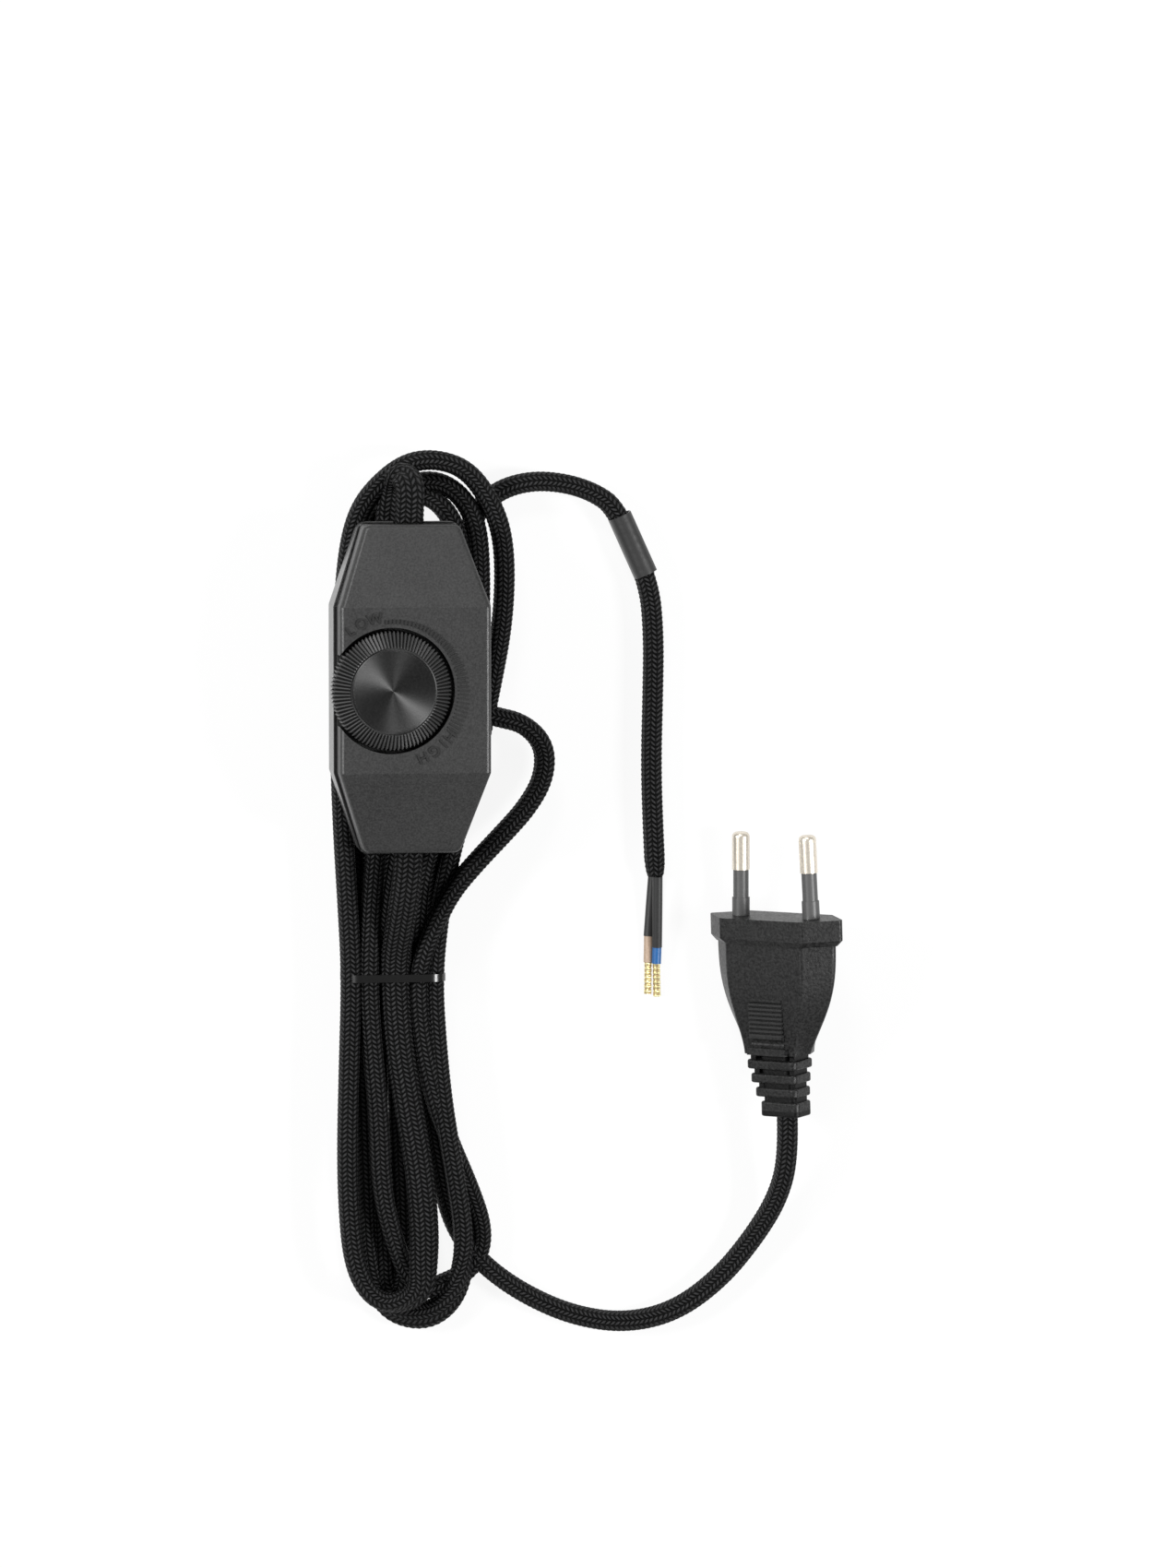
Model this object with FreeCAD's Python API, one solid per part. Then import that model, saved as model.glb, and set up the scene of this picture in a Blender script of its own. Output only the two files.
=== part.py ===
"""A rotary cord dimmer on its own textile-covered flat cord, with a flat two-pin plug.

Millimetres, +Z up. The dimmer lies level: +Y runs along it, +X across it, and the origin is the
middle of the dimmer's outer box, dial included. The cord lies in a bound hank under the dimmer.
"""
import FreeCAD, Part
import math
import os

V = FreeCAD.Vector

# Aids to modelling: how far a cut runs past its piece, how far fused pieces run into each other,
# and how close two places count as the same
REACH = 60.0
MERGE = 0.5
SAME = 1e-3

# The cover, an octagon in plan whose flat face slopes down towards both ends
HOUSING_LENGTH = 73.5
HOUSING_WIDTH = 34.0
END_WIDTH = 21.5
MIDDLE_LENGTH = 37.0
HOUSING_HEIGHT = 20.0
END_DROP = 6.0
COVER_DEPTH = 6.5
WALL = 1.8
FACE_EDGE_RADIUS = 1.2
BASE_EDGE_RADIUS = 1.4
END_CORNER_RADIUS = 2.0
LIP_THICKNESS = 0.8
LIP_HEIGHT = 1.0
LIP_CLEARANCE = 0.1
LIP_CORD_GAP = 0.6
LIP_POCKET_GAP = 0.3

# The base stands out past the cover, with a shadow gap inside its rim, and narrows downwards
BASE_STEP = 0.7
BASE_DRAFT = 2.0
RIM_THICKNESS = 0.25
SHADOW_GAP_DEPTH = 0.9
DRAFTED_EDGE_LEAN = 0.1

# Where the housing stands: its middle plane, and its face, which the dial rises above
HOUSING_X = 0.5
FACE_Z = 8.4

# The dial in its round pocket, which breaks out through the left wall
DIAL_X = -5.35
DIAL_RADIUS = 13.35
DIAL_TOP_RADIUS = 9.7
DIAL_RISE = 3.2
DIAL_RIBS = 90
RIB_DEPTH = 0.6
CROWN_RIB_DEPTH = 0.45
SKIRT_CEILING_DROP = 1.2
DIAL_DISH_DEPTH = 0.7
DIAL_RIM_WIDTH = 0.35
POCKET_GAP = 0.75
POCKET_DEPTH = 5.2
POCKET_WALL = 1.3
DIAL_FLOOR_GAP = 0.4
HUB_RADIUS = 5.0
SKIRT_INNER_RADIUS = 10.9
DIAL_TOP_WALL = 1.6

# The potentiometer and its shaft
SHAFT_RADIUS = 3.0
SHAFT_FLAT = 2.0
SHAFT_CLEARANCE = 0.05
SHAFT_END_GAP = 0.3
POT_RADIUS = 8.0
POT_HEIGHT = 5.2
POT_FLOOR = 1.5
LUG_SIZE = (1.2, 3.4, 0.6)
LUG_PITCH = 4.0
LUG_ROOT = 0.9
BUSH_RADIUS = 4.4
BUSH_CLEARANCE = 0.25
BUSH_RECESS = 0.1

# The circuit board and what is on it
BOARD_THICKNESS = 1.6
BOARD_UNDERSIDE = 3.6
BOARD_INSET = 2.7
BOARD_END_SPACE = 13.25
BOARD_CLEARANCE = 0.5
POST_RADIUS = 2.0
POST_X = 10.5
POST_Y = 11.0
PART_GAP = 0.65
TRIAC_SIZE = (10.0, 9.0, 4.5)
TRIAC_TAB = (10.0, 6.0, 1.3)
TRIAC_HOLE_RADIUS = 1.8
TRIAC_PLACE = (8.6, 8.0)
CHOKE_RADIUS = 6.2
CHOKE_BORE_RADIUS = 2.9
CHOKE_HEIGHT = 4.4
CHOKE_TURNS = 14
CHOKE_WIRE = 0.8
CHOKE_PLACE = (7.2, -8.9)
CAPACITOR_SIZE = (12.0, 5.5, 5.5)
CAPACITOR_CORNER_RADIUS = 0.6
CAPACITOR_X = -3.1
FUSE_RADIUS = 2.2
FUSE_LENGTH = 8.0
FUSE_CAP_LENGTH = 1.6
FUSE_CAP_WALL = 0.25
FUSE_X = -9.8
RESISTOR_RADIUS = 1.2
RESISTOR_LENGTH = 6.4
RESISTOR_X = -12.2
DIAC_X = 5.8
TERMINAL_SIZE = (15.0, 7.2, 7.3)
TERMINAL_INSET = 0.5
TERMINAL_PITCH = 7.5
TERMINAL_ENTRY_RADIUS = 1.4
TERMINAL_ENTRY_HEIGHT = 3.0
TERMINAL_ENTRY_DEPTH = 5.0
TERMINAL_SCREW_RADIUS = 1.7
TERMINAL_SCREW_CLEARANCE = 0.1
TERMINAL_SCREW_SINK = 0.6
SLOT_WIDTH = 0.6
SLOT_DEPTH = 0.8

# The cord: two cores side by side under one woven braid
CORD_WIDTH = 6.5
CORD_THICKNESS = 4.35
CORD_CLEARANCE = 0.2
ARC_SHARE = 0.45
CORE_RADIUS = 1.05
CORE_SPACING = 2.15
CORE_STRAIGHT = 1.6
CORE_IN_TERMINAL = 1.2

# The clamp at each end that holds the cord, and how much cord the housing holds there
CLAMP_INSET = 5.55
CORD_GRIP_LENGTH = 8.45
CLAMP_LENGTH = 4.6
CLAMP_THICKNESS = 2.0
CLAMP_SCREW_X = 6.0
CLAMP_SCREW_RADIUS = 1.25
CLAMP_SCREW_LENGTH = 7.5
CLAMP_SCREW_CLEARANCE = 0.2
CLAMP_HOLE_SPARE = 1.3
THREAD_CLEARANCE = 0.02
CLAMP_HEAD_RADIUS = 2.2
CLAMP_HEAD_HEIGHT = 1.4
CLAMP_BOSS_RADIUS = 2.3
CLAMP_BOSS_GAP = 0.3

# The screws that hold the two shells together, with a cross recess in each head
SCREW_X = 11.8
SCREW_INSET = 1.1
SCREW_RADIUS = 1.5
SCREW_HEAD_RADIUS = 2.7
SCREW_HEAD_HEIGHT = 1.8
SCREW_SINK = 2.6
SCREW_LENGTH = 13.0
SCREW_CLEARANCE = 0.15
SCREW_HEAD_CLEARANCE = 0.2
SCREW_HOLE_SPARE = 0.5
SCREW_TUBE_DROP = 2.0
CROSS_LENGTH = 3.2
CROSS_WIDTH = 0.7
CROSS_DEPTH = 1.0
BOSS_WALL = 1.3

# The hank, as its loops lie: bound at the waist by one thin band
HANK_THICKNESS = 13.0
HANK_EDGE_RADIUS = 2.8
BAND_Y = -66.1
BAND_WIDTH = 1.7
BAND_THICKNESS = 0.8
WAIST_LEFT = -12.25
WAIST_RIGHT = 9.35
WAIST_TOP_SINK = 0.3
WAIST_CORNER_RADIUS = 3.0

# The flat plug: a hexagonal flange, a tapering grip and a slotted strain relief
FLANGE_HALF_WIDTH = 17.65
FLANGE_HALF_HEIGHT = 6.85
FLANGE_BEVEL = 6.85
FLANGE_DEPTH = 6.0
FLANGE_CHAMFER = 1.3
FLANGE_CORNER_RADIUS = 0.9
BODY_INSET = 1.8
BODY_CORNER_RADIUS = 1.0
BODY_LENGTH = 25.1
BODY_END_HALF_WIDTH = 8.2
BODY_END_HALF_HEIGHT = 4.6
BODY_END_BEVEL = 1.6
GRIP_WIDTH = 8.6
GRIP_START = 18.2
GRIP_ROOT = 1.0
GRIP_RISE = 1.0
GRIP_FIRST_RIB = 0.6
GRIP_RIBS = 8
GRIP_RIB_PITCH = 1.0
GRIP_RIB_DEPTH = 0.45
GRIP_LIP_LENGTH = 1.6
GRIP_LIP_WIDTH = 10.0
GRIP_DIP = 1.0
RELIEF_RINGS = 4
RELIEF_PITCH = 3.2
RELIEF_RING = 2.1
RELIEF_LAST_RING = 3.4
RELIEF_FIRST_SLOT = 1.4
RELIEF_FIRST_HALF = (6.5, 4.3)
RELIEF_LAST_HALF = (5.0, 3.4)
RELIEF_CORE_HALF = (3.9, 2.7)
RELIEF_CORNER_RADIUS = 1.3
RELIEF_EDGE_RADIUS = 0.45
RELIEF_WEB = 1.3
RELIEF_WEB_INSET = 0.7
RELIEF_WEB_DROP = 1.2
RELIEF_LEAN = 0.45
PIN_RADIUS = 2.0
PIN_SLEEVE_RADIUS = 1.75
PIN_COLLAR_LENGTH = 4.0
PIN_SLEEVE_LENGTH = 10.4
PIN_LENGTH = 19.0
PIN_BASE_SPACING = 18.6
PIN_TIP_SPACING = 17.5
PIN_CORE_RADIUS = 1.2
PIN_ROOT_LENGTH = 6.0
PIN_TIP_RADIUS = 1.1
PLUG_ROLL = 41.0
PLUG_PITCH = 2.5
PLUG_YAW = 2.0
PLUG_X = 85.4
PLUG_Y = -53.25
PLUG_FLOOR_GAP = 0.01

# The shrink sleeve on the lamp lead, and the two bare ends
SLEEVE_WALL = 0.45
SLEEVE_LENGTH = 14.6
SLEEVE_START = 1.8
SHEATH_RADIUS = 1.15
FERRULE_RADIUS = 0.85
FERRULE_RINGS = 6
FERRULE_GROOVE = 0.15
FERRULE_GROOVE_SHARE = 0.25

# How the plug's body narrows: what comes off its half width, half height and bevel, and where
BODY_TAPER = [
    (0.0, 0.0, 0.0, 0.0),
    (0.5, 0.1, 0.4, 7.5),
    (1.7, 0.3, 1.0, 12.4),
    (4.1, 0.7, 2.0, 18.0),
]

# Worked out from the sizes above
CLAMP_Y = HOUSING_LENGTH / 2 - CLAMP_INSET
CORD_END_Y = HOUSING_LENGTH / 2 - CORD_GRIP_LENGTH
BOARD_LENGTH = HOUSING_LENGTH - 2 * BOARD_END_SPACE
SCREW_Y = MIDDLE_LENGTH / 2 - SCREW_INSET
BASE_Z = FACE_Z - HOUSING_HEIGHT
SEAM_Z = FACE_Z - COVER_DEPTH
FLOOR_Z = BASE_Z - HANK_THICKNESS
CORD_Z = SEAM_Z - END_DROP
BASE_FLOOR_Z = BASE_Z + WALL
BOARD_TOP = BASE_FLOOR_Z + BOARD_UNDERSIDE + BOARD_THICKNESS
POCKET_RADIUS = DIAL_RADIUS + POCKET_GAP
POCKET_Z = FACE_Z - POCKET_DEPTH
ON_EDGE_Z = FLOOR_Z + CORD_WIDTH / 2
BARE_Z = FLOOR_Z + SHEATH_RADIUS
EAST = V(1, 0, 0)
NORTH = V(0, 1, 0)
UP = V(0, 0, 1)

# The cord's routes, from point to point, chosen by hand
LAMP_EXIT = [
    V(0.5, CORD_END_Y, CORD_Z),
    V(0.5, 37.6, CORD_Z),
    V(1.15, 46.9, CORD_Z - 0.1),
    V(-1.35, 46.7, -13.9),
    V(-2.65, 37.8, -14.1),
]
MAINS_EXIT = [
    V(0.5, -CORD_END_Y, CORD_Z),
    V(0.5, -37.6, CORD_Z),
    V(-0.05, -46.0, -5.6),
    V(-0.75, -53.8, -9.6),
    V(-1.35, -60.4, -13.3),
    V(-1.45, -65.0, -14.3),
]
SIDE_LOOP = [
    V(15.65, -5.4, -15.1),
    V(21.25, -7.4, -15.2),
    V(28.25, -9.0, -16.2),
    V(33.25, -14.2, -17.4),
    V(33.05, -21.6, -17.6),
    V(29.05, -28.2, -16.8),
    V(23.45, -34.0, -15.6),
    V(17.45, -40.0, -14.8),
    V(11.65, -46.6, -14.8),
    V(8.25, -53.0, -14.9),
]
LAMP_LEAD = [
    V(16.25, 33.6, ON_EDGE_Z),
    V(18.65, 39.4, ON_EDGE_Z),
    V(23.65, 43.6, ON_EDGE_Z),
    V(30.65, 45.5, ON_EDGE_Z),
    V(38.25, 45.0, ON_EDGE_Z),
    V(45.05, 42.8, ON_EDGE_Z),
    V(50.05, 39.2, ON_EDGE_Z + SLEEVE_WALL),
    V(57.55, 22.6, ON_EDGE_Z + SLEEVE_WALL),
    V(58.75, 10.6, ON_EDGE_Z),
    V(58.55, -3.4, ON_EDGE_Z),
    V(58.15, -18.6, ON_EDGE_Z),
    V(58.55, -32.0, ON_EDGE_Z),
    V(59.15, -44.5, ON_EDGE_Z),
]
MAINS_LEAD = [
    V(11.65, -120.0, ON_EDGE_Z),
    V(15.25, -127.6, ON_EDGE_Z),
    V(21.25, -134.0, ON_EDGE_Z),
    V(29.65, -139.8, ON_EDGE_Z),
    V(40.25, -144.6, ON_EDGE_Z),
    V(52.05, -146.6, ON_EDGE_Z),
    V(63.65, -144.2, ON_EDGE_Z),
    V(74.05, -136.8, ON_EDGE_Z),
    V(82.05, -127.0, -20.6),
    V(87.05, -117.4, -17.2),
    V(88.55, -107.6, -13.5),
    V(88.2, -98.6, -13.1),
]
BROWN_SHEATH = [
    V(58.95, -44.5, -23.2),
    V(58.5, -50.6, BARE_Z),
    V(57.95, -58.3, BARE_Z),
]
BROWN_CORE = [V(57.95, -58.3, BARE_Z), V(57.85, -64.3, BARE_Z)]
BROWN_FERRULE = [V(57.85, -64.3, BARE_Z), V(57.75, -71.5, BARE_Z)]
BLUE_SHEATH = [
    V(59.45, -44.5, -19.9),
    V(59.55, -52.4, -20.8),
    V(59.65, -60.7, -22.0),
]
BLUE_CORE = [V(59.65, -60.7, -22.0), V(59.55, -64.5, -22.2)]
BLUE_FERRULE = [V(59.55, -64.5, -22.2), V(59.8, -72.0, -22.9)]
# The hank's outline in plan, round its loops from the left of the band
HANK_OUTLINE = [
    (WAIST_LEFT, BAND_Y),
    (-14.95, -38.0),
    (-16.35, -4.0),
    (-14.75, 22.0),
    (-8.75, 43.0),
    (-0.35, 51.2),
    (7.65, 53.3),
    (16.65, 50.4),
    (22.65, 43.0),
    (25.05, 31.0),
    (24.65, 15.0),
    (22.85, 0.0),
    (18.65, -21.0),
    (13.25, -43.0),
    (WAIST_RIGHT, BAND_Y),
    (11.85, -88.0),
    (16.65, -108.0),
    (19.85, -124.0),
    (18.05, -137.0),
    (11.65, -144.4),
    (4.65, -146.6),
    (-3.95, -144.4),
    (-10.25, -137.4),
    (-12.95, -124.0),
    (-13.85, -96.0),
]


def box(size_x, size_y, size_z, centre):
    """A box with its centre of base at a point."""
    corner = centre - V(size_x / 2, size_y / 2, 0)
    return Part.makeBox(size_x, size_y, size_z, corner)


def cylinder(radius, height, base, direction=UP):
    return Part.makeCylinder(radius, height, base, direction)


def joined(shapes):
    """The shapes fused into one, with no seams left between them."""
    return shapes[0].multiFuse(shapes[1:]).removeSplitter()


def polygon(points):
    return Part.makePolygon(list(points) + [points[0]])


def plan_points(inset):
    """The housing's octagon with every side moved in by the inset."""
    half_width = HOUSING_WIDTH / 2
    half_length = HOUSING_LENGTH / 2
    half_middle = MIDDLE_LENGTH / 2
    run = half_length - half_middle
    rise = half_width - END_WIDTH / 2
    slant = math.hypot(run, rise)
    normal_x = run / slant
    normal_y = rise / slant
    reach = normal_x * half_width + normal_y * half_middle - inset
    side_x = half_width - inset
    side_y = (reach - normal_x * side_x) / normal_y
    end_y = half_length - inset
    end_x = (reach - normal_y * end_y) / normal_x
    quarter = [(side_x, side_y), (end_x, end_y)]
    right = [(x, -y) for x, y in reversed(quarter)] + quarter
    return right + [(-x, -y) for x, y in right]


def octagon(inset, z):
    return polygon([V(x, y, z) for x, y in plan_points(inset)])


def plan_block(inset, low=-REACH, height=2 * REACH):
    """An upright block on the cover's octagon, taller than the housing."""
    return Part.Face(octagon(inset, low)).extrude(V(0, 0, height))


def below_face(drop):
    """All that lies more than the drop below the housing's bent face."""
    half_middle = MIDDLE_LENGTH / 2
    half_length = HOUSING_LENGTH / 2
    slope = END_DROP / (half_length - half_middle)
    reach = half_length + HOUSING_WIDTH
    top = FACE_Z - drop
    end = top - slope * (reach - half_middle)
    outline = polygon([
        V(-REACH, -reach, -REACH),
        V(-REACH, -reach, end),
        V(-REACH, -half_middle, top),
        V(-REACH, half_middle, top),
        V(-REACH, reach, end),
        V(-REACH, reach, -REACH),
    ])
    return Part.Face(outline).extrude(V(2 * REACH, 0, 0))


def inner_height(y, inset=WALL):
    """The height of the cover's inside above a point of the dimmer's length."""
    half_middle = MIDDLE_LENGTH / 2
    slope = END_DROP / (HOUSING_LENGTH / 2 - half_middle)
    return FACE_Z - inset - slope * max(0.0, abs(y) - half_middle)


def middle_of(edge):
    return edge.valueAt((edge.FirstParameter + edge.LastParameter) / 2)


def direction_of(edge):
    return edge.tangentAt((edge.FirstParameter + edge.LastParameter) / 2)


def edges_along(shape, axis):
    """The shape's straight edges that run along an axis."""
    return [
        edge for edge in shape.Edges
        if isinstance(edge.Curve, Part.Line) and direction_of(edge).cross(axis).Length < SAME
    ]


def upright_edges(block, at_end):
    """The block's corner edges, upright or drafted: those at its ends, or those beside its middle."""
    dividing = (HOUSING_LENGTH + MIDDLE_LENGTH) / 4
    return [
        edge for edge in block.Edges
        if direction_of(edge).cross(UP).Length < DRAFTED_EDGE_LEAN
        and (abs(middle_of(edge).y) > dividing) == at_end
    ]


def cover_block():
    """The cover's outside down to the base, with rounded corners and rounded face edges."""
    block = plan_block(0).common(below_face(0))
    block = block.cut(box(2 * REACH, 2 * REACH, REACH, V(0, 0, BASE_Z - REACH)))
    block = block.makeFillet(END_CORNER_RADIUS, upright_edges(block, True))
    rounded = upright_edges(block, False)
    for edge in block.Edges:
        middle = middle_of(edge)
        on_face = abs(middle.z - inner_height(middle.y, 0)) < SAME
        crease = abs(abs(middle.y) - MIDDLE_LENGTH / 2) < SAME and abs(middle.x) < SAME
        if on_face and not crease:
            rounded.append(edge)
    return block.makeFillet(FACE_EDGE_RADIUS, rounded)


def drafted_block(inset):
    """A block up to the seam that stands out past the cover and narrows towards the underside."""
    narrowing = (SEAM_Z - BASE_Z) * math.tan(math.radians(BASE_DRAFT))
    low = octagon(inset + narrowing - BASE_STEP, BASE_Z)
    high = octagon(inset - BASE_STEP, SEAM_Z)
    return Part.makeLoft([low, high], True, True)


def base_block():
    """The base's outside, with rounded corners and a rounded edge round its underside."""
    block = drafted_block(0)
    block = block.makeFillet(END_CORNER_RADIUS + BASE_STEP, upright_edges(block, True))
    block = block.makeFillet(FACE_EDGE_RADIUS, upright_edges(block, False))
    underside = [edge for edge in block.Edges if abs(edge.BoundBox.ZMax - BASE_Z) < SAME]
    return block.makeFillet(BASE_EDGE_RADIUS, underside)


def shadow_gap():
    """The groove between the base's rim and the foot of the cover's walls."""
    ring = drafted_block(RIM_THICKNESS).cut(plan_block(0))
    return ring.cut(below_face(COVER_DEPTH + SHADOW_GAP_DEPTH))


def seam_ring(outer_inset, inner_inset, low_drop, high_drop):
    """A ring that follows the seam between the shells, from one inset and drop to another."""
    ring = plan_block(outer_inset).cut(plan_block(inner_inset))
    return ring.common(below_face(high_drop)).cut(below_face(low_drop))


def stadium(width, thickness, centre, across, up):
    """The outline of a flat cord: two half rounds joined by two straight sides."""
    radius = thickness / 2
    half = width / 2 - radius
    right = centre + across * half
    left = centre - across * half
    top = up * radius
    side = across * radius
    return Part.Wire([
        Part.LineSegment(left + top, right + top).toShape(),
        Part.Arc(right + top, right + side, right - top).toShape(),
        Part.LineSegment(right - top, left - top).toShape(),
        Part.Arc(left - top, left - side, left + top).toShape(),
    ])


def corner_turn(before, corner, after):
    """How far a line turns at a corner, in radians."""
    return (corner - before).getAngle(after - corner)


def corner_arc(before, corner, after, radius):
    """The first, middle and last point of an arc that rounds a corner and meets both sides."""
    turn = corner_turn(before, corner, after)
    incoming = (corner - before).normalize()
    outgoing = (after - corner).normalize()
    reach = radius * math.tan(turn / 2)
    sagitta = radius * (1 / math.cos(turn / 2) - 1)
    middle = corner + (outgoing - incoming).normalize() * sagitta
    return corner - incoming * reach, middle, corner + outgoing * reach


def rounded_polygon(points, radius):
    """A closed outline whose corners are all rounded to one radius."""
    befores = points[-1:] + points[:-1]
    afters = points[1:] + points[:1]
    arcs = [corner_arc(*three, radius) for three in zip(befores, points, afters)]
    edges = []
    for (first, middle, last), (following, _, _) in zip(arcs, arcs[1:] + arcs[:1]):
        edges.append(Part.Arc(first, middle, last).toShape())
        edges.append(Part.LineSegment(last, following).toShape())
    return Part.Wire(edges)


def route_wire(points):
    """Straight runs joined by tangent arcs, each as large as its two runs allow."""
    edges = []
    radii = []
    start = points[0]
    for before, corner, after in zip(points, points[1:], points[2:]):
        shorter = min((corner - before).Length, (after - corner).Length)
        radius = ARC_SHARE * shorter / math.tan(corner_turn(before, corner, after) / 2)
        first, middle, last = corner_arc(before, corner, after, radius)
        edges.append(Part.LineSegment(start, first).toShape())
        edges.append(Part.Arc(first, middle, last).toShape())
        radii.append(radius)
        start = last
    edges.append(Part.LineSegment(start, points[-1]).toShape())
    return Part.Wire(edges), radii


def report_sweep(name, path, radii, section, solid):
    """Prints a sweep's length, its bends and how its volume compares with section times length."""
    ratio = solid.Volume / Part.Face(section).Area / path.Length
    bends = [round(radius, 1) for radius in radii]
    print(name, "length %.1f" % path.Length, "volume ratio %.3f" % ratio, "radii", bends)


def swept(name, points, section, across):
    """A solid of one flat section along a route, with one direction of the section kept."""
    path, radii = route_wire(points)
    shell = Part.BRepOffsetAPI.MakePipeShell(path)
    shell.setBiNormalMode(across)
    shell.setTransitionMode(0)
    shell.add(section)
    shell.build()
    shell.makeSolid()
    solid = shell.shape()
    report_sweep(name, path, radii, section, solid)
    return solid


def flat_cord(name, points):
    """A cord that lies on its wide side and bends up and down."""
    along = (points[1] - points[0]).normalize()
    section = stadium(CORD_WIDTH, CORD_THICKNESS, points[0], EAST, along.cross(EAST).normalize())
    return swept(name, points, section, EAST)


def edge_cord(name, points):
    """A cord that stands on its narrow side, as it does wherever it curves on the floor."""
    along = (points[1] - points[0]).normalize()
    side = along.cross(UP).normalize()
    section = stadium(CORD_WIDTH, CORD_THICKNESS, points[0], UP, side)
    return swept(name, points, section, UP)


def round_wire(name, points, radius):
    along = (points[1] - points[0]).normalize()
    section = Part.Wire([Part.Circle(points[0], along, radius).toShape()])
    path, radii = route_wire(points)
    solid = path.makePipeShell([section], True, False)
    report_sweep(name, path, radii, section, solid)
    return solid


def cord_channel(end, clearance):
    """The straight way that the cord takes through the housing's end wall."""
    start = V(0, end * (CORD_END_Y - MERGE), CORD_Z)
    section = stadium(CORD_WIDTH + 2 * clearance, CORD_THICKNESS + 2 * clearance, start, EAST, UP)
    return Part.Face(section).extrude(V(0, end * REACH, 0))


def screw_places():
    return [V(-SCREW_X, SCREW_Y, 0), V(SCREW_X, -SCREW_Y, 0)]


def clamp_screw_places():
    return [
        V(side * CLAMP_SCREW_X, end * CLAMP_Y, 0)
        for end in (1, -1)
        for side in (1, -1)
    ]


def clamp_screw_seat():
    """The height of the clamp's top, on which its screw heads sit."""
    return CORD_Z + CORD_THICKNESS / 2 + CLAMP_THICKNESS


def shell_supports():
    """What stands on the base's floor: board posts, cord cradles, clamp bosses and screw tubes."""
    root = BASE_FLOOR_Z - MERGE
    cradle_top = CORD_Z - CORD_THICKNESS / 2
    boss_top = CORD_Z + CORD_THICKNESS / 2 - CLAMP_BOSS_GAP
    supports = [
        cylinder(POST_RADIUS, BOARD_UNDERSIDE + MERGE, V(x, y, root))
        for x in (-POST_X, POST_X)
        for y in (-POST_Y, POST_Y)
    ]
    for end in (1, -1):
        place = V(0, end * CLAMP_Y, root)
        supports.append(box(2 * CLAMP_SCREW_X, CLAMP_LENGTH, cradle_top - root, place))
    for place in clamp_screw_places():
        supports.append(cylinder(CLAMP_BOSS_RADIUS, boss_top - root, place + V(0, 0, root)))
    for place in screw_places():
        foot = place + V(0, 0, BASE_Z)
        tube_radius = SCREW_RADIUS + SCREW_CLEARANCE + BOSS_WALL
        supports.append(cylinder(SCREW_HEAD_RADIUS + BOSS_WALL, SCREW_SINK + WALL, foot))
        supports.append(cylinder(tube_radius, SEAM_Z - SCREW_TUBE_DROP - BASE_Z, foot))
    return joined(supports).common(plan_block(WALL / 2, BASE_Z + WALL / 2))


def base_shell():
    """The lower shell: drafted walls up to the seam, a shadow gap, a lip and its supports."""
    shell = base_block().common(below_face(COVER_DEPTH))
    shell = shell.cut(plan_block(WALL, BASE_FLOOR_Z))
    lip = seam_ring(WALL - LIP_THICKNESS, WALL, COVER_DEPTH + MERGE, COVER_DEPTH - LIP_HEIGHT)
    lip = lip.cut(cord_channel(1, CORD_CLEARANCE + LIP_CORD_GAP))
    lip = lip.cut(cord_channel(-1, CORD_CLEARANCE + LIP_CORD_GAP))
    lip = lip.cut(cylinder(POCKET_RADIUS + POCKET_WALL + LIP_POCKET_GAP, REACH, V(DIAL_X, 0, SEAM_Z)))
    shell = joined([shell, lip])
    shell = joined([shell, shell_supports()])
    cuts = [
        cord_channel(1, CORD_CLEARANCE),
        cord_channel(-1, CORD_CLEARANCE),
        shadow_gap(),
    ]
    screw_end = clamp_screw_seat() - CLAMP_SCREW_LENGTH - CLAMP_HOLE_SPARE
    hole_depth = CORD_Z + CORD_THICKNESS / 2 - screw_end
    for place in clamp_screw_places():
        low = place + V(0, 0, screw_end)
        cuts.append(cylinder(CLAMP_SCREW_RADIUS + THREAD_CLEARANCE, hole_depth, low))
    for place in screw_places():
        foot = place + V(0, 0, BASE_Z)
        cuts.append(cylinder(SCREW_HEAD_RADIUS + SCREW_HEAD_CLEARANCE, SCREW_SINK, foot))
        cuts.append(cylinder(SCREW_RADIUS + SCREW_CLEARANCE, REACH, foot))
    for cut in cuts:
        shell = shell.cut(cut)
    return shell


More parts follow.
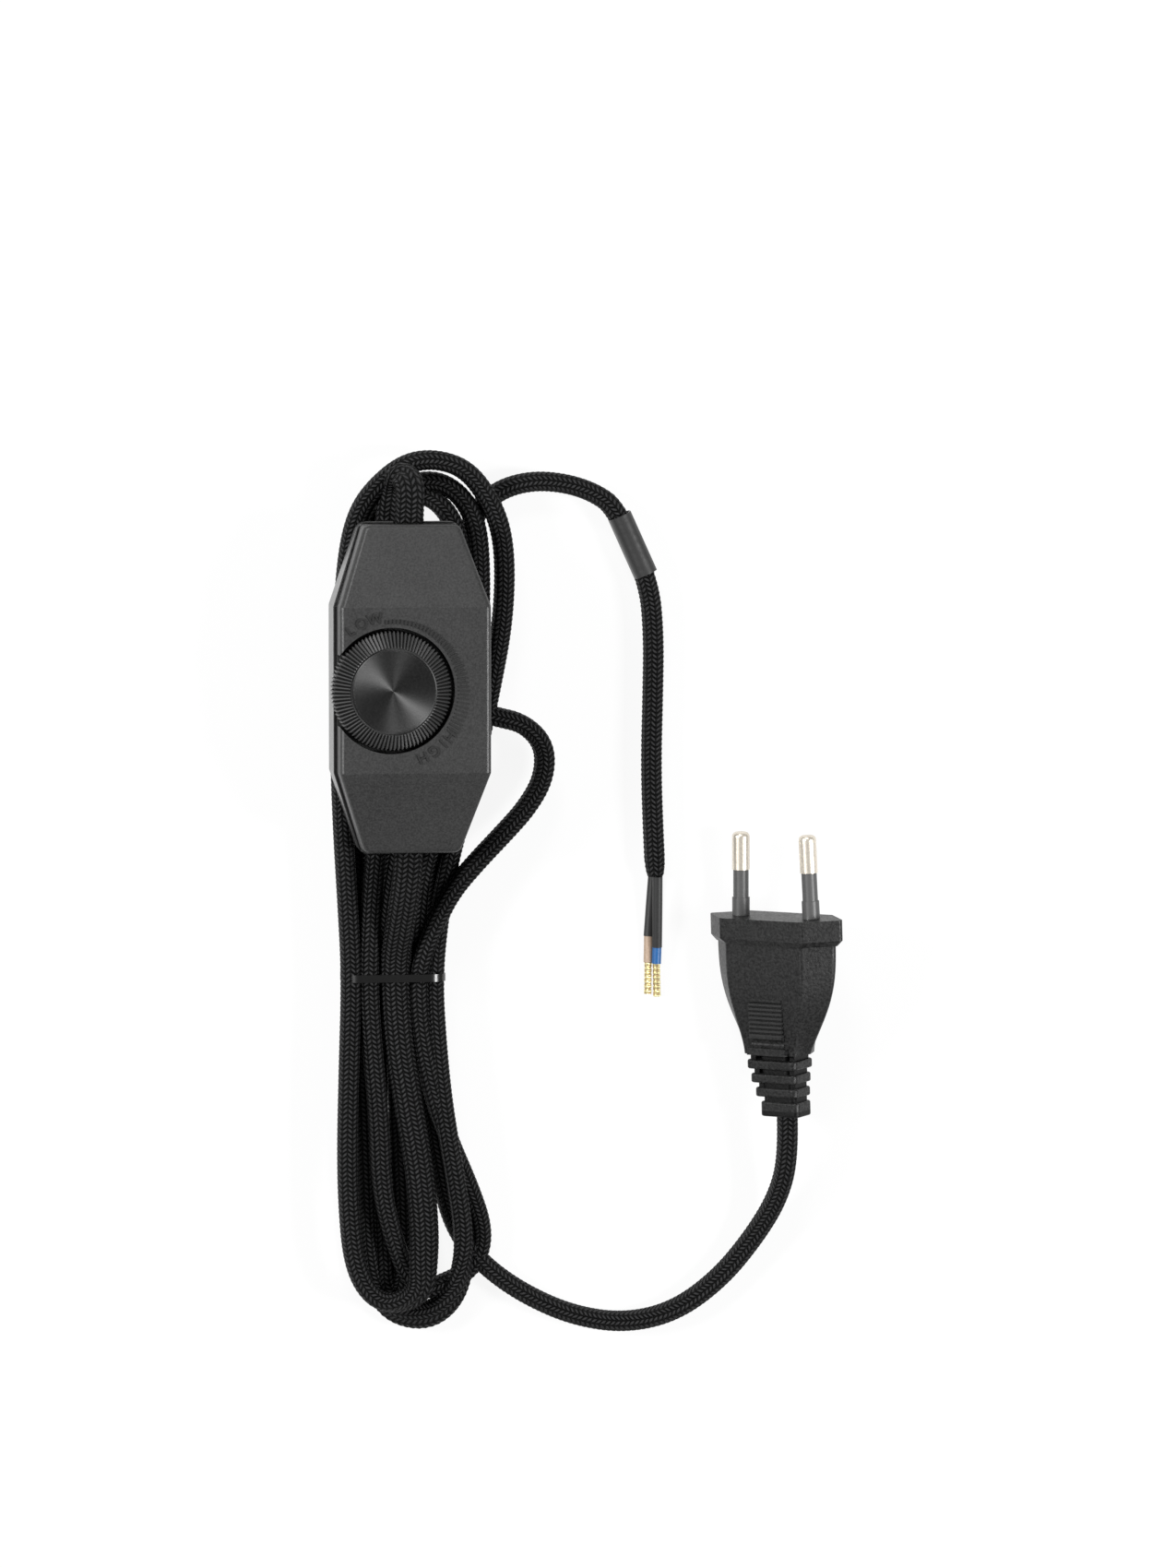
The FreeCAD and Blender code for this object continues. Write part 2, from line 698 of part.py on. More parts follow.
def upper_cover():
    """The upper shell: bent face, round pocket for the dial, screw bosses and the lip's rebate."""
    outside = cover_block()
    cover = outside.cut(below_face(COVER_DEPTH))
    cover = cover.cut(plan_block(WALL).common(below_face(WALL)))
    pocket_outer = cylinder(POCKET_RADIUS + POCKET_WALL, FACE_Z - SEAM_Z, V(DIAL_X, 0, SEAM_Z))
    boss_foot = SEAM_Z - SCREW_TUBE_DROP
    bosses = [
        cylinder(SCREW_RADIUS + BOSS_WALL, FACE_Z - boss_foot, place + V(0, 0, boss_foot))
        for place in screw_places()
    ]
    added = joined([pocket_outer] + bosses).common(outside.common(below_face(WALL / 2)))
    cover = joined([cover, added])
    rebate = seam_ring(WALL - LIP_THICKNESS - LIP_CLEARANCE, WALL + MERGE,
                       COVER_DEPTH + MERGE, COVER_DEPTH - LIP_HEIGHT - LIP_CLEARANCE)
    rebate = rebate.cut(cylinder(POCKET_RADIUS + POCKET_WALL, 2 * REACH, V(DIAL_X, 0, -REACH)))
    for boss in bosses:
        rebate = rebate.cut(boss)
    cuts = [
        rebate,
        cylinder(POCKET_RADIUS, REACH, V(DIAL_X, 0, POCKET_Z)),
        cylinder(BUSH_RADIUS + BUSH_CLEARANCE, REACH, V(DIAL_X, 0, SEAM_Z - MERGE)),
        cord_channel(1, CORD_CLEARANCE),
        cord_channel(-1, CORD_CLEARANCE),
    ]
    hole_top = BASE_Z + SCREW_SINK + SCREW_LENGTH + SCREW_HOLE_SPARE
    hole_foot = boss_foot - MERGE
    for place in screw_places():
        low = place + V(0, 0, hole_foot)
        cuts.append(cylinder(SCREW_RADIUS + THREAD_CLEARANCE, hole_top - hole_foot, low))
    for cut in cuts:
        cover = cover.cut(cut)
    return cover


def toothed_wire(radius, depth, z):
    """A closed outline of pointed ribs round the dial."""
    points = []
    for rib in range(DIAL_RIBS):
        for half, reach in ((0.0, radius), (0.5, radius - depth)):
            angle = 2 * math.pi * (rib + half) / DIAL_RIBS
            points.append(V(DIAL_X + reach * math.cos(angle), reach * math.sin(angle), z))
    return polygon(points)


def dial_wheel():
    """The knurled dial: a ribbed rim and bevel, a dished top, and a hub with a flatted bore."""
    bottom = POCKET_Z + DIAL_FLOOR_GAP
    top = FACE_Z + DIAL_RISE
    low = toothed_wire(DIAL_RADIUS, RIB_DEPTH, bottom)
    rim = toothed_wire(DIAL_RADIUS, RIB_DEPTH, FACE_Z)
    crown = toothed_wire(DIAL_TOP_RADIUS + DIAL_RIM_WIDTH, CROWN_RIB_DEPTH, top)
    side = Part.makeLoft([low, rim], True, True)
    bevel = Part.makeLoft([rim, crown], True, True)
    wheel = side.fuse(bevel)
    dish_radius = (DIAL_TOP_RADIUS ** 2 + DIAL_DISH_DEPTH ** 2) / (2 * DIAL_DISH_DEPTH)
    dish = Part.makeSphere(dish_radius, V(DIAL_X, 0, top + dish_radius - DIAL_DISH_DEPTH))
    wheel = wheel.cut(dish)
    ceiling = top - DIAL_DISH_DEPTH - DIAL_TOP_WALL
    shoulder = FACE_Z - SKIRT_CEILING_DROP
    hollow = cylinder(SKIRT_INNER_RADIUS, shoulder - bottom, V(DIAL_X, 0, bottom))
    cone = Part.makeCone(
        SKIRT_INNER_RADIUS, DIAL_TOP_RADIUS - DIAL_TOP_WALL, ceiling - shoulder, V(DIAL_X, 0, shoulder))
    hollow = hollow.fuse(cone).cut(cylinder(HUB_RADIUS, REACH, V(DIAL_X, 0, bottom - MERGE)))
    wheel = wheel.cut(hollow)
    return wheel.cut(shaft_bar(SHAFT_CLEARANCE, bottom - MERGE, ceiling))


def shaft_bar(clearance, low, high):
    """The flatted bar of the shaft, grown by a clearance."""
    bar = cylinder(SHAFT_RADIUS + clearance, high - low, V(DIAL_X, 0, low))
    flat = box(REACH, REACH, high - low, V(DIAL_X, SHAFT_FLAT + clearance + REACH / 2, low))
    return bar.cut(flat)


def shaft_top():
    return FACE_Z + DIAL_RISE - DIAL_DISH_DEPTH - DIAL_TOP_WALL


def pot_shaft():
    """The potentiometer's turning shaft: round in its bush, flatted in the dial."""
    low = BOARD_TOP + POT_FLOOR + SHAFT_END_GAP
    bush_top = POCKET_Z - BUSH_RECESS
    lower = cylinder(SHAFT_RADIUS, bush_top - low, V(DIAL_X, 0, low))
    upper = shaft_bar(0, bush_top, shaft_top())
    return lower.fuse(upper).removeSplitter()


def potentiometer_body():
    """A round can with a bush that stands through the pocket's floor, and its three lugs."""
    can = cylinder(POT_RADIUS, POT_HEIGHT, V(DIAL_X, 0, BOARD_TOP))
    bush_low = BOARD_TOP + POT_HEIGHT
    bush = cylinder(BUSH_RADIUS, POCKET_Z - BUSH_RECESS - bush_low, V(DIAL_X, 0, bush_low))
    lug_y = -POT_RADIUS + LUG_ROOT - LUG_SIZE[1] / 2
    lugs = [
        box(*LUG_SIZE, V(DIAL_X + step * LUG_PITCH, lug_y, BOARD_TOP))
        for step in (-1, 0, 1)
    ]
    body = joined([can, bush] + lugs)
    return body.cut(cylinder(SHAFT_RADIUS + SHAFT_CLEARANCE, REACH, V(DIAL_X, 0, BOARD_TOP + POT_FLOOR)))


def circuit_board():
    """A board on the housing's own octagon, with clearance round the screw tubes."""
    low = BASE_FLOOR_Z + BOARD_UNDERSIDE
    board = plan_block(BOARD_INSET, low, BOARD_THICKNESS)
    board = board.common(box(2 * REACH, BOARD_LENGTH, 2 * REACH, V(0, 0, -REACH)))
    tube_space = SCREW_HEAD_RADIUS + BOSS_WALL + BOARD_CLEARANCE
    for place in screw_places():
        board = board.cut(cylinder(tube_space, 2 * REACH, place + V(0, 0, -REACH)))
    return board


def triac():
    """A flat power triac: a moulded body and a drilled metal tab."""
    x, y = TRIAC_PLACE
    size_x, size_y, size_z = TRIAC_SIZE
    tab_x, tab_y, tab_z = TRIAC_TAB
    body = box(size_x, size_y, size_z, V(x, y, BOARD_TOP))
    tab_centre = y - size_y / 2 - tab_y / 2
    tab = box(tab_x, tab_y + 2 * MERGE, tab_z, V(x, tab_centre + MERGE, BOARD_TOP))
    hole = cylinder(TRIAC_HOLE_RADIUS, REACH, V(x, tab_centre, BOARD_TOP))
    return joined([body, tab]).cut(hole)


def choke_centre():
    return V(*CHOKE_PLACE, BOARD_TOP + CHOKE_WIRE)


def choke_core():
    centre = choke_centre()
    ring = cylinder(CHOKE_RADIUS - CHOKE_WIRE, CHOKE_HEIGHT, centre)
    return ring.cut(cylinder(CHOKE_BORE_RADIUS + CHOKE_WIRE, CHOKE_HEIGHT, centre))


def choke_winding():
    """The choke's turns, each a square loop of wire round the ring."""
    centre = choke_centre()
    inner = CHOKE_BORE_RADIUS + CHOKE_WIRE
    outer = CHOKE_RADIUS - CHOKE_WIRE
    loop = Part.makeBox(outer - inner + 2 * CHOKE_WIRE, CHOKE_WIRE, CHOKE_HEIGHT + 2 * CHOKE_WIRE,
                        V(inner - CHOKE_WIRE, -CHOKE_WIRE / 2, -CHOKE_WIRE))
    hole = Part.makeBox(outer - inner, CHOKE_WIRE, CHOKE_HEIGHT, V(inner, -CHOKE_WIRE / 2, 0))
    loop = loop.cut(hole)
    turns = []
    for turn in range(CHOKE_TURNS):
        copy = loop.copy()
        copy.rotate(V(0, 0, 0), UP, 360.0 * turn / CHOKE_TURNS)
        copy.translate(centre)
        turns.append(copy.cut(choke_core()))
    return Part.makeCompound(turns)


def beside_terminal(end, depth):
    """The place along the dimmer of a part of some depth that lies next to a terminal."""
    return end * (abs(terminal_y(end)) - TERMINAL_SIZE[1] / 2 - PART_GAP - depth / 2)


def film_capacitor():
    """A rectangular film capacitor beside the lamp terminal."""
    body = box(*CAPACITOR_SIZE, V(CAPACITOR_X, beside_terminal(1, CAPACITOR_SIZE[1]), BOARD_TOP))
    return body.makeFillet(CAPACITOR_CORNER_RADIUS, edges_along(body, UP))


def fuse():
    """A glass-type fuse beside the mains terminal: a tube with two metal caps."""
    start = V(FUSE_X, beside_terminal(-1, 2 * FUSE_RADIUS), BOARD_TOP + FUSE_RADIUS)
    tube = cylinder(FUSE_RADIUS - FUSE_CAP_WALL, FUSE_LENGTH, start, EAST)
    caps = [
        cylinder(FUSE_RADIUS, FUSE_CAP_LENGTH, start + EAST * shift, EAST)
        for shift in (0, FUSE_LENGTH - FUSE_CAP_LENGTH)
    ]
    return joined([tube] + caps)


def resistors():
    """A resistor and the diac, lying on the board beside the terminals."""
    axis_z = BOARD_TOP + RESISTOR_RADIUS
    resistor_y = beside_terminal(-1, RESISTOR_LENGTH) - RESISTOR_LENGTH / 2
    diac_y = beside_terminal(1, 2 * RESISTOR_RADIUS)
    resistor = cylinder(RESISTOR_RADIUS, RESISTOR_LENGTH, V(RESISTOR_X, resistor_y, axis_z), NORTH)
    diac = cylinder(RESISTOR_RADIUS, RESISTOR_LENGTH, V(DIAC_X, diac_y, axis_z), EAST)
    return Part.makeCompound([resistor, diac])


def terminal_y(end):
    return end * (BOARD_LENGTH / 2 - TERMINAL_SIZE[1] / 2 - TERMINAL_INSET)


def terminal(end):
    """A two-way screw terminal with its cord entries facing the housing's end."""
    size_x, size_y, size_z = TERMINAL_SIZE
    block = box(size_x, size_y, size_z, V(0, terminal_y(end), BOARD_TOP))
    for side in (-1, 1):
        x = side * TERMINAL_PITCH / 2
        entry = V(x, terminal_y(end) + end * size_y / 2, BOARD_TOP + TERMINAL_ENTRY_HEIGHT)
        block = block.cut(cylinder(TERMINAL_ENTRY_RADIUS, TERMINAL_ENTRY_DEPTH, entry, NORTH * -end))
        well = V(x, terminal_y(end), BOARD_TOP + TERMINAL_ENTRY_HEIGHT)
        block = block.cut(cylinder(TERMINAL_SCREW_RADIUS + TERMINAL_SCREW_CLEARANCE, REACH, well))
    return block


def terminal_screws():
    """Four slotted grub screws, one over each entry."""
    screws = []
    for end in (1, -1):
        for side in (-1, 1):
            low = BOARD_TOP + TERMINAL_ENTRY_HEIGHT + CORE_RADIUS
            high = BOARD_TOP + TERMINAL_SIZE[2] - TERMINAL_SCREW_SINK
            base = V(side * TERMINAL_PITCH / 2, terminal_y(end), low)
            screw = cylinder(TERMINAL_SCREW_RADIUS, high - low, base)
            slot = box(REACH, SLOT_WIDTH, REACH, V(base.x, base.y, high - SLOT_DEPTH))
            screws.append(screw.cut(slot))
    return Part.makeCompound(screws)


def cord_clamp(end):
    """The bar that presses the cord down into its cradle."""
    low = clamp_screw_seat() - CLAMP_THICKNESS
    width = 2 * (CLAMP_SCREW_X + CLAMP_BOSS_RADIUS)
    bar = box(width, CLAMP_LENGTH, CLAMP_THICKNESS, V(0, end * CLAMP_Y, low))
    for side in (-1, 1):
        place = V(side * CLAMP_SCREW_X, end * CLAMP_Y, low)
        bar = bar.cut(cylinder(CLAMP_SCREW_RADIUS + CLAMP_SCREW_CLEARANCE, REACH, place))
    return bar


def clamp_screws():
    """Four slotted screws, two through each clamp into its bosses."""
    screws = []
    seat = clamp_screw_seat()
    for place in clamp_screw_places():
        head = cylinder(CLAMP_HEAD_RADIUS, CLAMP_HEAD_HEIGHT, place + V(0, 0, seat))
        shank = cylinder(CLAMP_SCREW_RADIUS, CLAMP_SCREW_LENGTH, place + V(0, 0, seat - CLAMP_SCREW_LENGTH))
        slot_floor = seat + CLAMP_HEAD_HEIGHT - SLOT_DEPTH
        slot = box(2 * CLAMP_HEAD_RADIUS, SLOT_WIDTH, REACH, place + V(0, 0, slot_floor))
        screws.append(head.fuse(shank).removeSplitter().cut(slot))
    return Part.makeCompound(screws)


def housing_screws():
    """Two cross-head screws from the underside, sunk in their tubes."""
    screws = []
    for place in screw_places():
        low = BASE_Z + SCREW_SINK
        head = cylinder(SCREW_HEAD_RADIUS, SCREW_HEAD_HEIGHT, place + V(0, 0, low - SCREW_HEAD_HEIGHT))
        shank = cylinder(SCREW_RADIUS, SCREW_LENGTH, place + V(0, 0, low))
        screw = head.fuse(shank).removeSplitter()
        for size_x, size_y in ((CROSS_LENGTH, CROSS_WIDTH), (CROSS_WIDTH, CROSS_LENGTH)):
            recess = box(size_x, size_y, CROSS_DEPTH, place + V(0, 0, low - SCREW_HEAD_HEIGHT))
            screw = screw.cut(recess)
        screws.append(screw)
    return Part.makeCompound(screws)


def inner_cores(end):
    """The two cores, from the cord's cut end up into the terminal."""
    wires = []
    entry_y = terminal_y(end) + end * TERMINAL_SIZE[1] / 2
    entry_z = BOARD_TOP + TERMINAL_ENTRY_HEIGHT
    for side in (-1, 1):
        points = [
            V(side * CORE_SPACING / 2, end * CORD_END_Y, CORD_Z),
            V(side * CORE_SPACING / 2, end * (CORD_END_Y - CORE_STRAIGHT), CORD_Z),
            V(side * TERMINAL_PITCH / 2, entry_y + end * CORE_STRAIGHT, entry_z),
            V(side * TERMINAL_PITCH / 2, entry_y - end * CORE_IN_TERMINAL, entry_z),
        ]
        wires.append(round_wire("core", points, CORE_RADIUS))
    return Part.makeCompound(wires)


def waist_bar(grow, length):
    """A bar along the dimmer with the section of the hank under its band."""
    left = WAIST_LEFT - grow
    width = WAIST_RIGHT - WAIST_LEFT + 2 * grow
    low = FLOOR_Z + BAND_THICKNESS - grow
    height = HANK_THICKNESS - BAND_THICKNESS - WAIST_TOP_SINK + 2 * grow
    bar = Part.makeBox(width, length, height, V(left, BAND_Y - length / 2, low))
    return bar.makeFillet(WAIST_CORNER_RADIUS + grow, edges_along(bar, NORTH))


def cord_hank():
    """The bound hank as one solid of its outer shape, narrowed under its band."""
    curve = Part.BSplineCurve()
    curve.interpolate([V(x, y, FLOOR_Z) for x, y in HANK_OUTLINE], PeriodicFlag=True)
    outline = Part.Wire([curve.toShape()])
    hank = Part.Face(outline).extrude(V(0, 0, HANK_THICKNESS))
    rims = [edge for edge in hank.Edges if edge.BoundBox.ZLength < SAME]
    hank = hank.makeFillet(HANK_EDGE_RADIUS, rims)
    slab = box(2 * REACH, BAND_WIDTH, 2 * REACH, V(0, BAND_Y, -REACH))
    groove = slab.cut(waist_bar(0, 3 * BAND_WIDTH))
    return hank.cut(groove)


def binding_band():
    """The thin elastic band that binds the hank."""
    return waist_bar(BAND_THICKNESS, BAND_WIDTH).cut(waist_bar(0, 3 * BAND_WIDTH))


def hexagon(half_width, half_height, bevel, y, radius):
    """The plug's rounded outline across its axis, with slanted ends."""
    flat = half_width - bevel
    points = [
        (half_width, 0), (flat, half_height), (-flat, half_height),
        (-half_width, 0), (-flat, -half_height), (flat, -half_height),
    ]
    return rounded_polygon([V(x, y, z) for x, z in points], radius)


def rounded_plate(half_width, half_height, y, depth, shift):
    """A rounded rectangle across the plug's axis, some way along it and to its side."""
    low = V(shift - half_width, y, -half_height)
    plate = Part.makeBox(2 * half_width, depth, 2 * half_height, low)
    return plate.makeFillet(RELIEF_CORNER_RADIUS, edges_along(plate, NORTH))


def plug_flange():
    """The flange at the plug's front, chamfered towards the body."""
    outline = (FLANGE_HALF_WIDTH, FLANGE_HALF_HEIGHT, FLANGE_BEVEL)
    straight = FLANGE_DEPTH - FLANGE_CHAMFER
    flange = Part.Face(hexagon(*outline, -straight, FLANGE_CORNER_RADIUS)).extrude(NORTH * straight)
    smaller = (FLANGE_HALF_WIDTH - FLANGE_CHAMFER, FLANGE_HALF_HEIGHT - FLANGE_CHAMFER / 2, FLANGE_BEVEL)
    chamfer = Part.makeLoft([
        hexagon(*outline, -straight, FLANGE_CORNER_RADIUS),
        hexagon(*smaller, -FLANGE_DEPTH, FLANGE_CORNER_RADIUS),
    ], True, True)
    return joined([flange, chamfer])


def plug_placement():
    """Where the plug lies: rolled onto the flange's slanted end, which rests on the floor."""
    turn = FreeCAD.Rotation(UP, PLUG_YAW) * FreeCAD.Rotation(EAST, PLUG_PITCH)
    turn = turn * FreeCAD.Rotation(NORTH, -PLUG_ROLL)
    flange = plug_flange()
    flange.Placement = FreeCAD.Placement(V(PLUG_X, PLUG_Y, 0), turn)
    lowest = min(vertex.Point.z for vertex in flange.Vertexes)
    return FreeCAD.Placement(V(PLUG_X, PLUG_Y, FLOOR_Z + PLUG_FLOOR_GAP - lowest), turn)


def placed(shape):
    """A piece of the plug moved from the plug's own axes to where the plug lies."""
    moved = shape.copy()
    moved.Placement = plug_placement().multiply(shape.Placement)
    return moved


def relief_shift(step):
    """How far a ring of the strain relief has leaned over with the pull of the cord."""
    return RELIEF_LEAN * step * (step + 1) / 4


def ring_halves(step):
    share = step / (RELIEF_RINGS - 1)
    return [
        first + (last - first) * share
        for first, last in zip(RELIEF_FIRST_HALF, RELIEF_LAST_HALF)
    ]


def relief_start():
    return FLANGE_DEPTH + BODY_LENGTH


def relief_ring(step, front, depth):
    """A ring of the strain relief with all its edges rounded."""
    ring = rounded_plate(*ring_halves(step), front - depth, depth, relief_shift(step))
    outer = [edge for edge in ring.Edges if direction_of(edge).cross(NORTH).Length > SAME]
    return ring.makeFillet(RELIEF_EDGE_RADIUS, outer)


def strain_relief():
    """Four rings on a core, tied by a web along each narrow side."""
    pieces = []
    for step in range(RELIEF_RINGS):
        last = step == RELIEF_RINGS - 1
        front = -(relief_start() + RELIEF_FIRST_SLOT + step * RELIEF_PITCH)
        slot = RELIEF_PITCH - RELIEF_RING if step else RELIEF_FIRST_SLOT
        pieces.append(relief_ring(step, front, RELIEF_LAST_RING if last else RELIEF_RING))
        shift = relief_shift(step)
        root = front - MERGE
        reach = slot + 2 * MERGE
        pieces.append(rounded_plate(*RELIEF_CORE_HALF, root, reach, shift))
        half_width, half_height = ring_halves(step)
        web_height = 2 * (half_height - RELIEF_WEB_DROP)
        for side in (-1, 1):
            centre = shift + side * (half_width - RELIEF_WEB_INSET - RELIEF_WEB / 2)
            low = V(centre - RELIEF_WEB / 2, root, -web_height / 2)
            pieces.append(Part.makeBox(RELIEF_WEB, reach, web_height, low))
    return pieces


def plug_grip(side):
    """The ribbed finger grip that stands out towards the cord on one broad face."""
    end = relief_start()
    depth = end - GRIP_START
    top = FLANGE_HALF_HEIGHT - BODY_INSET + GRIP_RISE
    height = top - GRIP_ROOT
    block = Part.makeBox(GRIP_WIDTH, depth, height, V(-GRIP_WIDTH / 2, -end, GRIP_ROOT))
    first_rib = GRIP_START + GRIP_FIRST_RIB
    for rib in range(GRIP_RIBS):
        y = -(first_rib + (rib + 0.5) * GRIP_RIB_PITCH)
        low = V(-GRIP_WIDTH, y, top - GRIP_RIB_DEPTH)
        groove = Part.makeBox(2 * GRIP_WIDTH, GRIP_RIB_PITCH / 2, REACH, low)
        block = block.cut(groove)
    dip_start = first_rib + (GRIP_RIBS + 0.5) * GRIP_RIB_PITCH
    dip_length = end - GRIP_LIP_LENGTH - dip_start
    dip_radius = (dip_length ** 2 / 4 + GRIP_DIP ** 2) / (2 * GRIP_DIP)
    dip_centre = V(-GRIP_WIDTH, -(dip_start + dip_length / 2), top + dip_radius - GRIP_DIP)
    block = block.cut(cylinder(dip_radius, 2 * GRIP_WIDTH, dip_centre, EAST))
    lip = Part.makeBox(GRIP_LIP_WIDTH, GRIP_LIP_LENGTH, height, V(-GRIP_LIP_WIDTH / 2, -end, GRIP_ROOT))
    block = joined([block, lip])
    if side < 0:
        block.rotate(V(0, 0, 0), NORTH, 180)
    return block


def pin_placement(side):
    """A pin stands on the flange and leans a little towards the other one."""
    lean = math.degrees(math.atan((PIN_BASE_SPACING - PIN_TIP_SPACING) / 2 / PIN_LENGTH))
    return FreeCAD.Placement(V(side * PIN_BASE_SPACING / 2, 0, 0), FreeCAD.Rotation(UP, side * lean))


def plug_pin(side):
    """A turned pin: a thin root in its sleeve and a full-size contact end with a round tip."""
    root = cylinder(PIN_CORE_RADIUS, PIN_SLEEVE_LENGTH + PIN_ROOT_LENGTH, V(0, -PIN_ROOT_LENGTH, 0), NORTH)
    end = cylinder(PIN_RADIUS, PIN_LENGTH - PIN_SLEEVE_LENGTH, V(0, PIN_SLEEVE_LENGTH, 0), NORTH)
    tip = [edge for edge in end.Edges if edge.BoundBox.YMin > PIN_LENGTH - SAME]
    end = end.makeFillet(PIN_TIP_RADIUS, tip)
    pin = root.fuse(end).removeSplitter()
    pin.Placement = pin_placement(side)
    return pin


def pin_sleeve(side):
    """The insulating sleeve on a pin's root, with a thicker collar at the flange."""
    sleeve = cylinder(PIN_SLEEVE_RADIUS, PIN_SLEEVE_LENGTH, V(0, 0, 0), NORTH)
    collar = cylinder(PIN_RADIUS, PIN_COLLAR_LENGTH, V(0, 0, 0), NORTH)
    sleeve = sleeve.fuse(collar).removeSplitter()
    sleeve = sleeve.cut(cylinder(PIN_CORE_RADIUS, REACH, V(0, 0, 0), NORTH))
    sleeve.Placement = pin_placement(side)
    return sleeve.cut(plug_flange())


def plug_body():
    """The moulded plug: flange, tapering body, two finger grips and the strain relief."""
    half_width = FLANGE_HALF_WIDTH - BODY_INSET
    half_height = FLANGE_HALF_HEIGHT - BODY_INSET / 2
    bevel = FLANGE_BEVEL - BODY_INSET / 2
    wires = [
        hexagon(half_width - wide, half_height - high, bevel - slant, -(FLANGE_DEPTH + y), BODY_CORNER_RADIUS)
        for wide, high, slant, y in BODY_TAPER
    ]
    end = (BODY_END_HALF_WIDTH, BODY_END_HALF_HEIGHT, BODY_END_BEVEL, -relief_start())
    wires.append(hexagon(*end, BODY_CORNER_RADIUS))
    body = Part.makeLoft(wires, True, False)
    pieces = [plug_flange(), body, plug_grip(1), plug_grip(-1)] + strain_relief()
    whole = joined(pieces)
    for side in (-1, 1):
        whole = whole.cut(plug_pin(side))
    return whole


def shrink_sleeve():
    """The shrunk sleeve round the lamp lead, straight between two of the route's points."""
    start = LAMP_LEAD[6]
    along = (LAMP_LEAD[7] - start).normalize()
    side = along.cross(UP).normalize()
    first = start + along * SLEEVE_START
    outer = stadium(CORD_WIDTH + 2 * SLEEVE_WALL, CORD_THICKNESS + 2 * SLEEVE_WALL, first, UP, side)
    inner = stadium(CORD_WIDTH, CORD_THICKNESS, first, UP, side)
    sleeve = Part.Face(outer).extrude(along * SLEEVE_LENGTH)
    return sleeve.cut(Part.Face(inner).extrude(along * SLEEVE_LENGTH))


def ferrule(points):
    """A crimped end: a rod pressed into a row of pads."""
    along = (points[1] - points[0]).normalize()
    length = (points[1] - points[0]).Length
    rod = cylinder(FERRULE_RADIUS, length, points[0], along)
    pitch = length / FERRULE_RINGS
    width = FERRULE_GROOVE_SHARE * pitch
    for ring in range(1, FERRULE_RINGS):
        start = points[0] + along * (ring * pitch - width / 2)
        outer = cylinder(2 * FERRULE_RADIUS, width, start, along)
        rod = rod.cut(outer.cut(cylinder(FERRULE_RADIUS - FERRULE_GROOVE, width, start, along)))
    return rod


def housing_pieces():
    """The dimmer's own pieces, built round its middle plane."""
    return {
        "base_shell": base_shell(),
        "upper_cover": upper_cover(),
        "housing_screws": housing_screws(),
        "dial_wheel": dial_wheel(),
        "pot_shaft": pot_shaft(),
        "potentiometer_body": potentiometer_body(),
        "circuit_board": circuit_board(),
        "triac": triac(),
        "choke_core": choke_core(),
        "choke_winding": choke_winding(),
        "film_capacitor": film_capacitor(),
        "fuse": fuse(),
        "resistors": resistors(),
        "mains_terminal": terminal(-1),
        "lamp_terminal": terminal(1),
        "terminal_screws": terminal_screws(),
        "mains_cord_clamp": cord_clamp(-1),
        "lamp_cord_clamp": cord_clamp(1),
        "clamp_screws": clamp_screws(),
        "mains_cores": inner_cores(-1),
        "lamp_cores": inner_cores(1),
    }


def cord_pieces():
    """The cord as it lies, with what is on it."""
    return {
        "cord_hank": cord_hank(),
        "binding_band": binding_band(),
        "lamp_cord_exit": flat_cord("lamp exit", LAMP_EXIT),
        "mains_cord_exit": flat_cord("mains exit", MAINS_EXIT),
        "side_loop": edge_cord("side loop", SIDE_LOOP),
        "lamp_lead": edge_cord("lamp lead", LAMP_LEAD),
        "mains_lead": edge_cord("mains lead", MAINS_LEAD),
        "shrink_sleeve": shrink_sleeve(),
        "brown_sheath": round_wire("brown sheath", BROWN_SHEATH, SHEATH_RADIUS),
        "brown_core": round_wire("brown core", BROWN_CORE, CORE_RADIUS),
        "brown_ferrule": ferrule(BROWN_FERRULE),
        "blue_sheath": round_wire("blue sheath", BLUE_SHEATH, SHEATH_RADIUS),
        "blue_core": round_wire("blue core", BLUE_CORE, CORE_RADIUS),
        "blue_ferrule": ferrule(BLUE_FERRULE),
        "plug_body": placed(plug_body()),
        "left_pin": placed(plug_pin(-1)),
        "right_pin": placed(plug_pin(1)),
        "left_pin_sleeve": placed(pin_sleeve(-1)),
        "right_pin_sleeve": placed(pin_sleeve(1)),
    }


def main():
    os.makedirs("parts", exist_ok=True)
    housing = housing_pieces()
    for shape in housing.values():
        shape.translate(V(HOUSING_X, 0, 0))
    pieces = dict(housing)
    pieces.update(cord_pieces())
    for node, shape in pieces.items():
        print(node, shape.isValid(), len(shape.Solids), len(shape.Faces), "%.1f" % shape.Volume)
        shape.exportStep("parts/" + node + ".step")


main()
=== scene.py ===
"""The rotary cord dimmer in its real finishes, lying on its own bound hank of braided cord.

Lengths are written in millimetres and turned into metres by MM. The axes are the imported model's:
+Y along the dimmer, +X across it, +Z up, with the origin in the middle of the dimmer's outer box,
dial included.
"""

import logging
import math
from dataclasses import dataclass, field
from enum import Enum

import bmesh
import bpy
from mathutils import Matrix, Vector


